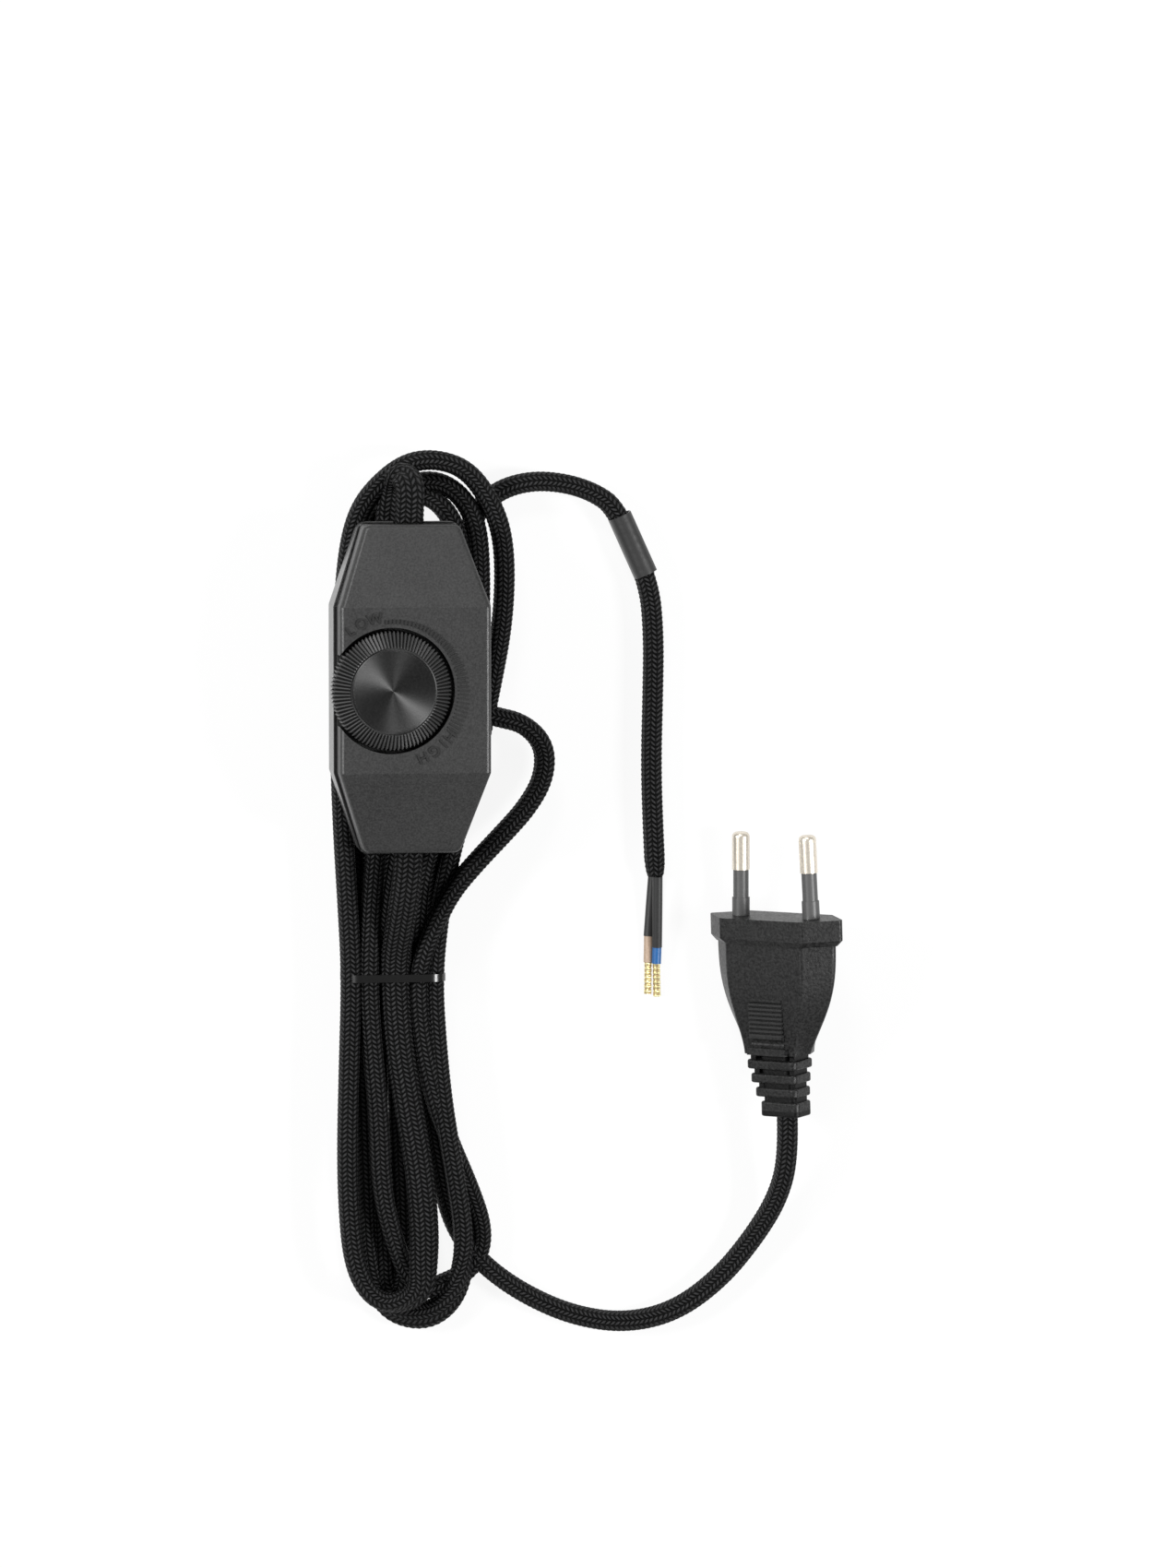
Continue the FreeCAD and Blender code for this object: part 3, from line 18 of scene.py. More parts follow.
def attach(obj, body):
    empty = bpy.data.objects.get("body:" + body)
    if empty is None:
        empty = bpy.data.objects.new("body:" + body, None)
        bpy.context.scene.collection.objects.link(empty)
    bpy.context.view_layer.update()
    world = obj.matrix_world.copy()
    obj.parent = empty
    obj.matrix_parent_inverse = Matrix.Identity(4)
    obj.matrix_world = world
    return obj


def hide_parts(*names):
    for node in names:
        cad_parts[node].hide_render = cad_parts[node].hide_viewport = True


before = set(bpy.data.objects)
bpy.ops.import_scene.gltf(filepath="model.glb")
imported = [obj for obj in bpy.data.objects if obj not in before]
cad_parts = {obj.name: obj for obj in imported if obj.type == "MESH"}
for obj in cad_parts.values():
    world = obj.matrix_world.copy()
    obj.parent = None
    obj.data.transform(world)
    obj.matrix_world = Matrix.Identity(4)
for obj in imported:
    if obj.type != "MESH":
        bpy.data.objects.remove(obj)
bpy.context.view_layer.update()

MM = 0.001
WELD = 1e-6
TINY = 1e-9
UP = Vector((0.0, 0.0, 1.0))
EAST = Vector((1.0, 0.0, 0.0))
SOUTH = Vector((0.0, -1.0, 0.0))
DIAL_X = -4.85
FIXED_BODY = "dimmer"
CORD_MAP = "cord"
LOG = logging.getLogger("dimmer")
Colour = tuple[float, float, float]
Point = tuple[float, float, float]


def metres(x: float, y: float, z: float) -> Vector:
    """A point given in millimetres, in metres."""
    return Vector((x, y, z)) * MM


def grey(level: float, warmth: float = 0.0) -> Colour:
    """A grey with a little more red and less blue where warmth is above zero."""
    return (level * (1.0 + warmth), level, level * (1.0 - warmth))


class Signal:
    """One output socket of a shader node, with arithmetic that adds Math nodes."""

    def __init__(self, recipe: "Recipe", socket: bpy.types.NodeSocket) -> None:
        """Keeps the socket and the recipe that it belongs to."""
        self.recipe = recipe
        self.socket = socket

    def maths(self, operation: str, *others: "Signal | float") -> "Signal":
        """A Math node of this signal and others.

        Args:
            operation: the Math node's operation.
            others: the node's further inputs, as signals or numbers.

        Returns:
            The node's output.
        """
        values = dict(enumerate((self,) + others))
        return self.recipe.node("ShaderNodeMath", {"operation": operation}, values)

    def reflected(self, operation: str, other: float) -> "Signal":
        """A Math node with a number first and this signal second."""
        return self.recipe.node("ShaderNodeMath", {"operation": operation}, {0: other, 1: self})

    def __add__(self, other: "Signal | float") -> "Signal":
        """This plus other."""
        return self.maths("ADD", other)

    def __radd__(self, other: float) -> "Signal":
        """A number plus this."""
        return self.reflected("ADD", other)

    def __sub__(self, other: "Signal | float") -> "Signal":
        """This less other."""
        return self.maths("SUBTRACT", other)

    def __rsub__(self, other: float) -> "Signal":
        """A number less this."""
        return self.reflected("SUBTRACT", other)

    def __mul__(self, other: "Signal | float") -> "Signal":
        """This times other."""
        return self.maths("MULTIPLY", other)

    def __rmul__(self, other: float) -> "Signal":
        """A number times this."""
        return self.reflected("MULTIPLY", other)

    def __pow__(self, other: "Signal | float") -> "Signal":
        """This to a power."""
        return self.maths("POWER", other)

    def floor(self) -> "Signal":
        """The whole number at or below this."""
        return self.maths("FLOOR")

    def fraction(self) -> "Signal":
        """What is left over a whole number."""
        return self - self.floor()

    def size(self) -> "Signal":
        """This without its sign."""
        return self.maths("ABSOLUTE")

    def sine(self) -> "Signal":
        """The sine of this."""
        return self.maths("SINE")

    def above(self, edge: float) -> "Signal":
        """One where this is more than the edge, otherwise zero."""
        return self.maths("GREATER_THAN", edge)

    def smooth(self, low: float, high: float) -> "Signal":
        """A smooth rise from zero to one.

        Args:
            low: where it starts.
            high: where it ends.

        Returns:
            The rise.
        """
        settings = {"interpolation_type": "SMOOTHSTEP"}
        sockets = {"Value": self, "From Min": low, "From Max": high}
        return self.recipe.node("ShaderNodeMapRange", settings, sockets)


class Recipe:
    """A material's node tree, and the few ways in which its nodes are added."""

    # The Mix node's sockets for a factor and two colours, and its colour output
    MIX_FACTOR, MIX_LOW, MIX_HIGH, MIX_COLOUR = 0, 6, 7, 2

    def __init__(self, name: str) -> None:
        """Starts an empty material with that name."""
        self.material = bpy.data.materials.new(name)
        self.material.use_nodes = True
        self.tree = self.material.node_tree
        self.tree.nodes.clear()

    def node(
        self,
        kind: str,
        settings: dict | None = None,
        sockets: dict | None = None,
        output: int | str = 0,
    ) -> Signal:
        """Adds a node.

        Args:
            kind: the node's type.
            settings: its properties, set first.
            sockets: values or signals for its inputs, by name or number.
            output: the output that is wanted.

        Returns:
            The wanted output.
        """
        made = self.tree.nodes.new(kind)
        for name, value in (settings or {}).items():
            setattr(made, name, value)
        for key, value in (sockets or {}).items():
            if isinstance(value, Signal):
                self.tree.links.new(value.socket, made.inputs[key])
            else:
                made.inputs[key].default_value = value
        return Signal(self, made.outputs[output])

    def place(self) -> Signal:
        """The object's own coordinates, in metres."""
        return self.node("ShaderNodeTexCoord", output="Object")

    def parts(self, vector: Signal) -> tuple[Signal, ...]:
        """A vector's parts.

        Args:
            vector: the vector.

        Returns:
            Its X, Y and Z.
        """
        made = self.tree.nodes.new("ShaderNodeSeparateXYZ")
        self.tree.links.new(vector.socket, made.inputs[0])
        return tuple(Signal(self, socket) for socket in made.outputs)

    def axes(self) -> tuple[Signal, ...]:
        """The object's own coordinates, in metres, apart."""
        return self.parts(self.place())

    def noise(self, size: float, detail: float = 2.0, roughness: float = 0.5) -> Signal:
        """Noise on the object's own coordinates.

        Args:
            size: about how large its features are, in millimetres.
            detail: how many finer layers it has.
            roughness: how strong the finer layers are.

        Returns:
            The noise, from zero to one.
        """
        place = self.place()
        scale = 1.0 / (size * MM)
        sockets = {"Vector": place, "Scale": scale, "Detail": detail, "Roughness": roughness}
        return self.node("ShaderNodeTexNoise", None, sockets, "Fac")

    def mix(self, factor: Signal, low: Colour, high: Colour) -> Signal:
        """A colour between two others.

        Args:
            factor: how far it is from the first to the second, from zero to one.
            low: the first colour.
            high: the second colour.

        Returns:
            The mixed colour.
        """
        settings = {"data_type": "RGBA", "clamp_factor": True}
        sockets = {self.MIX_FACTOR: factor, self.MIX_LOW: (*low, 1.0), self.MIX_HIGH: (*high, 1.0)}
        return self.node("ShaderNodeMix", settings, sockets, self.MIX_COLOUR)

    def bump(self, height: Signal, millimetres: float) -> Signal:
        """A Bump node, in which a height of one stands for some millimetres."""
        sockets = {"Strength": 1.0, "Distance": millimetres * MM, "Height": height}
        return self.node("ShaderNodeBump", None, sockets)

    def surface(self, **sockets: "Signal | float") -> bpy.types.Material:
        """Ends the material with a Principled shader.

        Args:
            sockets: its inputs, with underscores for the spaces in their names.

        Returns:
            The finished material.
        """
        inputs = {name.replace("_", " "): value for name, value in sockets.items()}
        self.show(self.node("ShaderNodeBsdfPrincipled", None, inputs))
        return self.material

    def show(self, shader: Signal) -> None:
        """Sends a shader to the material's output."""
        made = self.tree.nodes.new("ShaderNodeOutputMaterial")
        self.tree.links.new(shader.socket, made.inputs["Surface"])


# How every finish mixes its fine grain and the broad clouds behind it into its shade
CLOUD_GRAINS = 25.0
GRAIN_EDGES = (0.3, 0.7)
GRAIN_SHADE = 0.75
CLOUD_SHADE = 0.25
# How far the clouds, the grain and the dark places change its roughness
ROUGH_START = -0.06
ROUGH_CLOUD = 0.07
ROUGH_GRAIN = 0.05
ROUGH_DARK = 0.2


@dataclass(frozen=True)
class Finish:
    """A moulded, drawn or plated surface with its grain and small differences in shade.

    Attributes:
        name: the material's name.
        colour: its middle colour.
        roughness: its middle roughness.
        metallic: how far it reflects as a metal does, from zero to one.
        grain: the size of its grain in millimetres.
        depth: the depth of its grain in millimetres.
        spread: how far its shade strays, as a share.
        specular: the strength of its plain reflection.
        brushed: how far its highlights are drawn out by turning or brushing.
        turned: the direction in which they are drawn out, as a share of a full turn.
    """

    name: str
    colour: Colour
    roughness: float = 0.45
    metallic: float = 0.0
    grain: float = 0.35
    depth: float = 0.012
    spread: float = 0.12
    specular: float = 0.5
    brushed: float = 0.0
    turned: float = 0.333

    def relief(self, recipe: Recipe, fine: Signal) -> Signal:
        """The surface's height in millimetres; kinds of finish with a pattern add theirs."""
        return fine * self.depth

    def pattern(self, recipe: Recipe, shade: Signal) -> Signal:
        """How light the surface is, from zero to one; kinds of finish with a pattern change it."""
        return shade

    def made(self) -> bpy.types.Material:
        """Makes the material.

        Returns:
            The material, whose patterns lie on the object's own coordinates.
        """
        recipe = Recipe(self.name)
        fine = recipe.noise(self.grain, detail=3.0, roughness=0.6)
        cloud = recipe.noise(self.grain * CLOUD_GRAINS)
        bright = tuple(min(1.0, channel * (1.0 + self.spread)) for channel in self.colour)
        dark = tuple(channel * (1.0 - self.spread) for channel in self.colour)
        look = self.pattern(
            recipe, fine.smooth(*GRAIN_EDGES) * GRAIN_SHADE + cloud * CLOUD_SHADE
        )
        colour = recipe.mix(look, dark, bright)
        rough = self.roughness + ROUGH_START + cloud * ROUGH_CLOUD + fine * ROUGH_GRAIN
        rough = rough + (1.0 - look) * (self.spread * ROUGH_DARK)
        return recipe.surface(
            Base_Color=colour,
            Roughness=rough,
            Metallic=self.metallic,
            Specular_IOR_Level=self.specular,
            Anisotropic=self.brushed,
            Anisotropic_Rotation=self.turned,
            Normal=recipe.bump(self.relief(recipe, fine), 1.0),
        )


@dataclass(frozen=True)
class TurnedTop(Finish):
    """The dial's plastic: turned rings on a top that falls away outwards, and a painted highlight
    on the rib tips with painted shade in the grooves.

    Attributes:
        axis_x: where the dial's axis is across the dimmer, in millimetres.
        top_z: the height above which a point counts as on the top, in millimetres.
        top_radius: the flat top's radius, in millimetres.
        rim: the width over which the rings end at the top's edge, in millimetres.
        blend: the width over which the ribs start beyond that edge, in millimetres.
        top_light: how much of the plain shade is left on the top, as a share.
        pitch: the distance from ring to ring, in millimetres.
        ring_depth: the depth of a ring, in millimetres.
        fall: how far the top leans down over a millimetre outwards, in millimetres.
        ribs: how many ribs go round the dial.
        tip_highlight_edges: the heights on a rib, from minus one to one, between which its painted
            shade turns to painted highlight.
    """

    axis_x: float = DIAL_X
    top_z: float = 11.5
    top_radius: float = 9.7
    rim: float = 0.3
    blend: float = 0.2
    top_light: float = 0.15
    pitch: float = 0.5
    ring_depth: float = 0.012
    fall: float = 0.07
    ribs: int = 90
    tip_highlight_edges: tuple[float, float] = (-0.3, 0.9)

    def polar(self, recipe: Recipe) -> tuple[Signal, Signal, Signal]:
        """A point's place as seen from the dial's axis.

        Args:
            recipe: the material's recipe.

        Returns:
            Its distance from the axis in millimetres, its direction in radians, and its height
            in metres.
        """
        x, y, z = recipe.axes()
        east = x * (1.0 / MM) - self.axis_x
        north = y * (1.0 / MM)
        return (east * east + north * north) ** 0.5, north.maths("ARCTAN2", east), z

    def relief(self, recipe: Recipe, fine: Signal) -> Signal:
        """The height of the surface.

        Args:
            recipe: the material's recipe.
            fine: the grain, from zero to one.

        Returns:
            The grain, and the rings and the fall on the top, in millimetres.
        """
        radius, _, z = self.polar(recipe)
        inside = 1.0 - radius.smooth(self.top_radius - self.rim, self.top_radius)
        on_top = inside * z.above(self.top_z * MM)
        rings = (radius * (2.0 * math.pi / self.pitch)).sine() * (self.ring_depth / 2)
        return fine * self.depth + (rings - radius * self.fall) * on_top

    def pattern(self, recipe: Recipe, shade: Signal) -> Signal:
        """How light the surface is.

        Args:
            recipe: the material's recipe.
            shade: the plain shade.

        Returns:
            An even shade on the flat top, and outside it a painted highlight on the rib tips and
            painted shade in the grooves.
        """
        radius, direction, _ = self.polar(recipe)
        # Painted light: the rib tips are painted light as a painted highlight, and the grooves dark
        # as painted shade.
        painted_tip_light = (direction * float(self.ribs) + math.pi / 2).sine().smooth(*self.tip_highlight_edges)
        outside = radius.smooth(self.top_radius, self.top_radius + self.blend)
        return shade * self.top_light * (1.0 - outside) + painted_tip_light * outside


@dataclass(frozen=True)
class Gripped(Finish):
    """The plug's plastic, with painted shade between its grip ribs and in the slots of its cord
    relief, and a painted highlight on the ribs.

    Lengths are in millimetres, and those along the plug count from its pin face to its cord.

    Attributes:
        pin_face: the middle of the face that the pins stand on.
        turns: how far the plug is turned about X, Y and Z, in degrees.
        order: the axes of its turns, with the one that it is turned about first as the last.
        first_rib: where the grip's ribs start along the plug.
        last_rib: where they end.
        rib_pitch: the distance from rib to rib.
        groove: the share of that distance that a groove takes.
        rib_highlight: how much lighter than the plain shade a rib is painted, as a painted
            highlight.
        grip_half: half the grip's width.
        grip_depth: how far from the plug's middle plane, to both sides, the grips' skin starts.
        first_ring: where the cord relief's first ring starts along the plug.
        ring_pitch: the distance from ring to ring.
        ring: the length of a ring, without the slot after it.
        lead: how far before the first ring a slot may lie.
    """

    pin_face: Point = (85.4, -53.25, -12.167)
    turns: tuple[float, float, float] = (2.5, -41.0, 2.0)
    order: str = "ZXY"
    first_rib: float = 18.8
    last_rib: float = 26.8
    rib_pitch: float = 1.0
    groove: float = 0.5
    rib_highlight: float = 0.5
    grip_half: float = 4.3
    grip_depth: float = 3.0
    first_ring: float = 32.5
    ring_pitch: float = 3.2
    ring: float = 2.1
    lead: float = 1.0

    def distance(self, recipe: Recipe, side: Vector) -> Signal:
        """How far a point is from the middle of the pin face.

        Args:
            recipe: the material's recipe.
            side: the direction that is measured, on the plug's own axes.

        Returns:
            The distance in millimetres.
        """
        angles = dict(zip("XYZ", self.turns))
        turned = Matrix.Identity(3)
        for axis in self.order:
            turned = turned @ Matrix.Rotation(math.radians(angles[axis]), 3, axis)
        way = turned @ side
        shares = [axis * (part / MM) for axis, part in zip(recipe.axes(), way)]
        return shares[0] + shares[1] + shares[2] - way.dot(Vector(self.pin_face))

    def pattern(self, recipe: Recipe, shade: Signal) -> Signal:
        """How light the surface is.

        Args:
            recipe: the material's recipe.
            shade: the plain shade.

        Returns:
            Painted shade in the grooves and the slots, a painted highlight on the ribs, and
            elsewhere the plain shade.
        """
        down = self.distance(recipe, SOUTH)
        aside = self.distance(recipe, EAST).size()
        front = self.distance(recipe, UP).size()
        in_grip = down.above(self.first_rib) * (1.0 - down.above(self.last_rib))
        in_grip = in_grip * (1.0 - aside.above(self.grip_half)) * front.above(self.grip_depth)
        over_rib = ((down - self.first_rib) * (1.0 / self.rib_pitch)).fraction()
        groove = 1.0 - over_rib.above(self.groove)
        past = ((down - self.first_ring) * (1.0 / self.ring_pitch)).fraction() * self.ring_pitch
        slots = past.above(self.ring) * down.above(self.first_ring - self.lead)
        # Painted shade: the grooves and slots are painted dark; painted highlight: the ribs are
        # painted lighter.
        plain = shade * (1.0 - groove * in_grip) * (1.0 - slots)
        return plain + (1.0 - groove) * in_grip * self.rib_highlight


@dataclass(frozen=True)
class Crimped(Finish):
    """A metal end pressed in a diamond pattern, with a painted highlight on the diamonds and
    painted shade in the grooves.

    Attributes:
        pitch: the distance over which the pattern repeats, in millimetres.
        pressing: how far the diamonds stand out and the grooves go in, in millimetres.
        lean: how much of a point's height counts as across the end, as a share.
        edges: the heights in the pattern between which its painted shade turns to painted
            highlight.
        pattern_share: how much of the shade is the pattern's painted highlight and shade; the rest
            is the plain shade.
    """

    pitch: float = 2.1
    pressing: float = 0.14
    lean: float = 0.5
    edges: tuple[float, float] = (-0.5, 0.4)
    pattern_share: float = 0.8

    def diamonds(self, recipe: Recipe) -> Signal:
        """The pressed pattern.

        Args:
            recipe: the material's recipe.

        Returns:
            Its height, from minus one to one.
        """
        x, y, z = recipe.axes()
        across = (x + z * self.lean) * (2.0 * math.pi / (self.pitch * MM))
        along = y * (2.0 * math.pi / (self.pitch * MM))
        return (along + across).sine() * (along - across).sine()

    def relief(self, recipe: Recipe, fine: Signal) -> Signal:
        """The grain and the diamonds."""
        return fine * self.depth + self.diamonds(recipe) * self.pressing

    def pattern(self, recipe: Recipe, shade: Signal) -> Signal:
        """A painted highlight on the diamonds and painted shade in the grooves between them."""
        # Painted light: the colour is painted bright on the diamonds as a painted highlight and
        # dark in the grooves as painted shade.
        light = self.diamonds(recipe).smooth(*self.edges) * self.pattern_share
        return light + shade * (1.0 - self.pattern_share)


@dataclass(frozen=True)
class Rippled(Finish):
    """A sleeve shrunk over the cord, whose weave shows through as soft lumps.

    Attributes:
        lump: about how large a lump is, in millimetres.
        rise: how far the lumps stand out, in millimetres.
    """

    lump: float = 1.6
    rise: float = 0.06

    def relief(self, recipe: Recipe, fine: Signal) -> Signal:
        """The grain and the lumps."""
        return fine * self.depth + recipe.noise(self.lump, detail=1.0) * self.rise


@dataclass(frozen=True)
class Braid:
    """The textile braid: columns of short slanted stitches that meet in chevrons, with painted
    shade between the stitches.

    Attributes:
        name: the material's name.
        thread: the colour on a stitch's crown.
        gap_shade: the colour between stitches, near black, a painted shade.
        columns: how many columns of stitches go round the cord.
        pitch: the distance from stitch to stitch along the cord, in millimetres.
        slant: how far a stitch leans along the cord over its column's width, in pitches.
        wander: how far the stitches stray along the cord, in pitches.
        wander_size: about how far along the cord they stray together, in millimetres.
        crown_power: how steeply a stitch falls off at its ends.
        side_power: how steeply it falls off at its sides.
        side_share: how much of its height it loses at its sides.
        fibre: the size of a fibre in millimetres.
        fibre_share: how much of the height is fibres.
        edges: the heights between which the colour goes from the painted gap shade to the thread's.
        gap_rough: the roughness between stitches.
        crown_sheen: how much smoother a stitch's crown is.
        specular: the strength of its plain reflection.
        depth: the depth between stitches, in millimetres.
    """

    name: str
    thread: Colour = (0.034, 0.034, 0.035)
    gap_shade: Colour = (0.0006, 0.0006, 0.0006)
    columns: int = 14
    pitch: float = 1.1
    slant: float = 0.8
    wander: float = 0.4
    wander_size: float = 2.2
    crown_power: float = 2.4
    side_power: float = 3.0
    side_share: float = 0.75
    fibre: float = 0.16
    fibre_share: float = 0.12
    edges: tuple[float, float] = (0.5, 1.0)
    gap_rough: float = 0.75
    crown_sheen: float = 0.25
    specular: float = 0.15
    depth: float = 0.5

    def height(self, recipe: Recipe) -> Signal:
        """How high a point is on its stitch.

        Args:
            recipe: the material's recipe.

        Returns:
            The height, from zero between stitches to one on a crown.
        """
        place = recipe.node("ShaderNodeUVMap", {"uv_map": CORD_MAP})
        along, turn, _ = recipe.parts(place)
        round_cord = turn * float(self.columns)
        across = round_cord.fraction() - 0.5
        odd = (round_cord.floor() * 0.5).fraction() * 4.0 - 1.0
        wander = recipe.noise(self.wander_size)
        step = along * (1.0 / self.pitch) + across * odd * self.slant + wander * self.wander
        stitch = (step.fraction() - 0.5).size() * 2.0
        crown = 1.0 - stitch ** self.crown_power
        side = 1.0 - (across.size() * 2.0) ** self.side_power
        return crown * (side * self.side_share + (1.0 - self.side_share))

    def made(self) -> bpy.types.Material:
        """Makes the material.

        Returns:
            The material, on a UV map of millimetres along the cord and turns round it.
        """
        recipe = Recipe(self.name)
        height = self.height(recipe)
        fibre = recipe.noise(self.fibre, roughness=0.7)
        whole = height * (1.0 - self.fibre_share) + fibre * self.fibre_share
        return recipe.surface(
            # Painted shade: the colour darkens between stitches and towards the sides of each
            # column.
            Base_Color=recipe.mix(whole.smooth(*self.edges), self.gap_shade, self.thread),
            Roughness=self.gap_rough - height * self.crown_sheen,
            Specular_IOR_Level=self.specular,
            Normal=recipe.bump(whole, self.depth),
        )


def new_piece(name: str, shape: bmesh.types.BMesh, smooth: bool = True) -> bpy.types.Object:
    """An object in the scene made of a finished shape, which is freed.

    Args:
        name: the object's name.
        shape: its shape, in metres.
        smooth: whether its faces are shaded smooth.

    Returns:
        The object, at the origin.
    """
    mesh = bpy.data.meshes.new(name)
    shape.to_mesh(mesh)
    shape.free()
    for face in mesh.polygons:
        face.use_smooth = smooth
    piece = bpy.data.objects.new(name, mesh)
    bpy.context.scene.collection.objects.link(piece)
    return piece


def dress(piece: bpy.types.Object, material: bpy.types.Material) -> None:
    """Gives a piece one material."""
    piece.data.materials.clear()
    piece.data.materials.append(material)


class Lie(Enum):
    """How a flat cord lies at a point: turned from its wide side on the ground, in degrees."""

    FLAT = 0.0
    EDGE = 90.0


@dataclass
class FlatCord:
    """One of the two cords, from the housing to its far end.

    Attributes:
        name: the piece's name.
        stations: the route, each point in millimetres with the turn of the cord there in degrees.
        replaced: the model's nodes that it stands for.
        exit_place: where it leaves the housing, in millimetres; not used.
        far_end: what its far end is; not used.
        pieces: the model's nodes that lie along it; not used.
        width: the wide side, in millimetres.
        thickness: the narrow side, in millimetres.
        waist: how much thinner the cord is between its two cores, in millimetres.
        step: the distance between rings of the mesh, in millimetres, half a stitch.
        around: how many faces go round it.
        resolution: how finely its splines are read.
        steep: how level its way is at least, from zero to one, for its wide side to be level.
        scallop: how far the stitches stand out, as a share of the cord's size.
        ragged: the length at its far end over which the cut braid draws in, in millimetres.
        cut: the size of the braid at the cut, as a share of the cord's.
        tuft: how far its tufts stray there, as a share of the cord's size.
        tuft_waves: how fast they change from step to step round it and from ring to ring.
        path: its centre line in metres, once it is built.
        length: its length in metres, once it is built.
    """

    name: str
    stations: list[tuple[float, float, float, float]]
    replaced: tuple[str, ...]
    exit_place: Point
    far_end: str
    pieces: list[str]
    width: float = 6.5
    thickness: float = 4.35
    waist: float = 0.35
    step: float = 0.55
    around: int = 28
    resolution: int = 16
    steep: float = 0.3
    scallop: float = 0.03
    ragged: float = 0.0
    cut: float = 0.72
    tuft: float = 0.05
    tuft_waves: tuple[float, float] = (2.3, 1.7)
    path: list[Vector] = field(default_factory=list, init=False)
    length: float = field(default=0.0, init=False)

    def spline(self, name: str, points: list[Vector]) -> list[Vector]:
        """The points along one smooth NURBS spline.

        Args:
            name: a name for the curve, which is removed afterwards.
            points: its control points in metres.

        Returns:
            The points along it, from end to end.
        """
        curve = bpy.data.curves.new(name, "CURVE")
        curve.dimensions = "3D"
        spline = curve.splines.new("NURBS")
        spline.points.add(len(points) - 1)
        for target, point in zip(spline.points, points):
            target.co = (*point, 1.0)
        spline.order_u = 3
        spline.use_endpoint_u = True
        spline.resolution_u = self.resolution
        holder = bpy.data.objects.new(name, curve)
        mesh = bpy.data.meshes.new_from_object(holder)
        line = [vertex.co.copy() for vertex in mesh.vertices]
        bpy.data.meshes.remove(mesh)
        bpy.data.objects.remove(holder)
        bpy.data.curves.remove(curve)
        return line

    def wide_side(self, index: int) -> Vector:
        """The direction of the cord's wide side.

        Args:
            index: the number of the station.

        Returns:
            The direction there, of length one.
        """
        points = [Vector(station[:3]) for station in self.stations]
        before = points[max(0, index - 1)]
        after = points[min(len(points) - 1, index + 1)]
        along = (after - before).normalized()
        level = along.cross(UP)
        level = level.normalized() if level.length > self.steep else EAST.copy()
        upright = level.cross(along).normalized()
        turn = math.radians(self.stations[index][3])
        return level * math.cos(turn) + upright * math.sin(turn)

    def route(self) -> tuple[list[Vector], list[Vector]]:
        """The way of the cord, at even steps.

        Returns:
            The points of its centre line in metres, and its wide side's direction at each.
        """
        points = [metres(*station[:3]) for station in self.stations]
        sides = [self.wide_side(index) * MM for index in range(len(points))]
        line = self.spline(self.name + "_line", points)
        rail = self.spline(self.name + "_rail", [p + s for p, s in zip(points, sides)])
        reach = [0.0]
        for first, second in zip(line, line[1:]):
            reach.append(reach[-1] + (second - first).length)
        count = int(reach[-1] / (self.step * MM))
        places, wides = [], []
        at = 0
        for ring in range(count + 1):
            distance = reach[-1] * ring / count
            while at < len(line) - 2 and reach[at + 1] < distance:
                at += 1
            share = (distance - reach[at]) / max(reach[at + 1] - reach[at], TINY)
            places.append(line[at].lerp(line[at + 1], share))
            wides.append((rail[at] - line[at]).lerp(rail[at + 1] - line[at + 1], share))
        return places, wides

    def section(self, share: float) -> tuple[float, float]:
        """A point of the cord's outline.

        Args:
            share: how far round it is, from zero to one.

        Returns:
            Its place along the wide side and across it, in millimetres.
        """
        radius = self.thickness / 2
        half = self.width / 2 - radius
        straight = 2 * half
        arc = math.pi * radius
        distance = (share % 1.0) * 2 * (straight + arc)
        side = 1.0
        if distance >= straight + arc:
            distance -= straight + arc
            side = -1.0
        if distance < straight:
            x = half - distance
            dip = self.waist / 2 * (1.0 - (x / half) ** 2)
            return x * side, (radius - dip) * side
        angle = (distance - straight) / radius
        return (-half - radius * math.sin(angle)) * side, radius * math.cos(angle) * side

    def seats(self, places: list[Vector], wides: list[Vector]) -> list[Matrix]:
        """Where each ring of the mesh goes.

        Args:
            places: the rings' middles, in metres.
            wides: the wide side's direction at each.

        Returns:
            A matrix for each ring, with the wide side, the narrow side and the way as its axes.
        """
        last = len(places) - 1
        seats = []
        for ring, (place, wide) in enumerate(zip(places, wides)):
            along = places[min(ring + 1, last)] - places[max(ring - 1, 0)]
            along.normalize()
            wide = (wide - along * wide.dot(along)).normalized()
            seat = Matrix((wide, along.cross(wide), along)).transposed().to_4x4()
            seat.translation = place
            seats.append(seat)
        return seats

    def swell(self, ring: int, step: int, left: float) -> float:
        """The size of the braid at a point of the mesh.

        Args:
            ring: the number of its ring.
            step: the number of its step round the ring.
            left: how far it is to the far end, in millimetres.

        Returns:
            The size, as a share of the plain cord's.
        """
        swell = 1.0 + self.scallop * math.cos(math.pi * (ring + step // 2))
        if left < self.ragged:
            round_it, along_it = self.tuft_waves
            tuft = self.tuft * math.sin(round_it * step) * math.cos(along_it * ring)
            swell *= self.cut + (1.0 - self.cut) * math.sqrt(left / self.ragged) + tuft
        return swell

    def tube(self) -> bmesh.types.BMesh:
        """The braid, rolled from a grid whose UV map runs along and round it.

        Returns:
            The closed shape, in metres.
        """
        places, wides = self.route()
        seats = self.seats(places, wides)
        last = len(places) - 1
        outline = [self.section(step / self.around) for step in range(self.around + 1)]
        shape = bmesh.new()
        uv = shape.loops.layers.uv.new(CORD_MAP)
        bmesh.ops.create_grid(
            shape, x_segments=last, y_segments=self.around, size=0.5, calc_uvs=True
        )

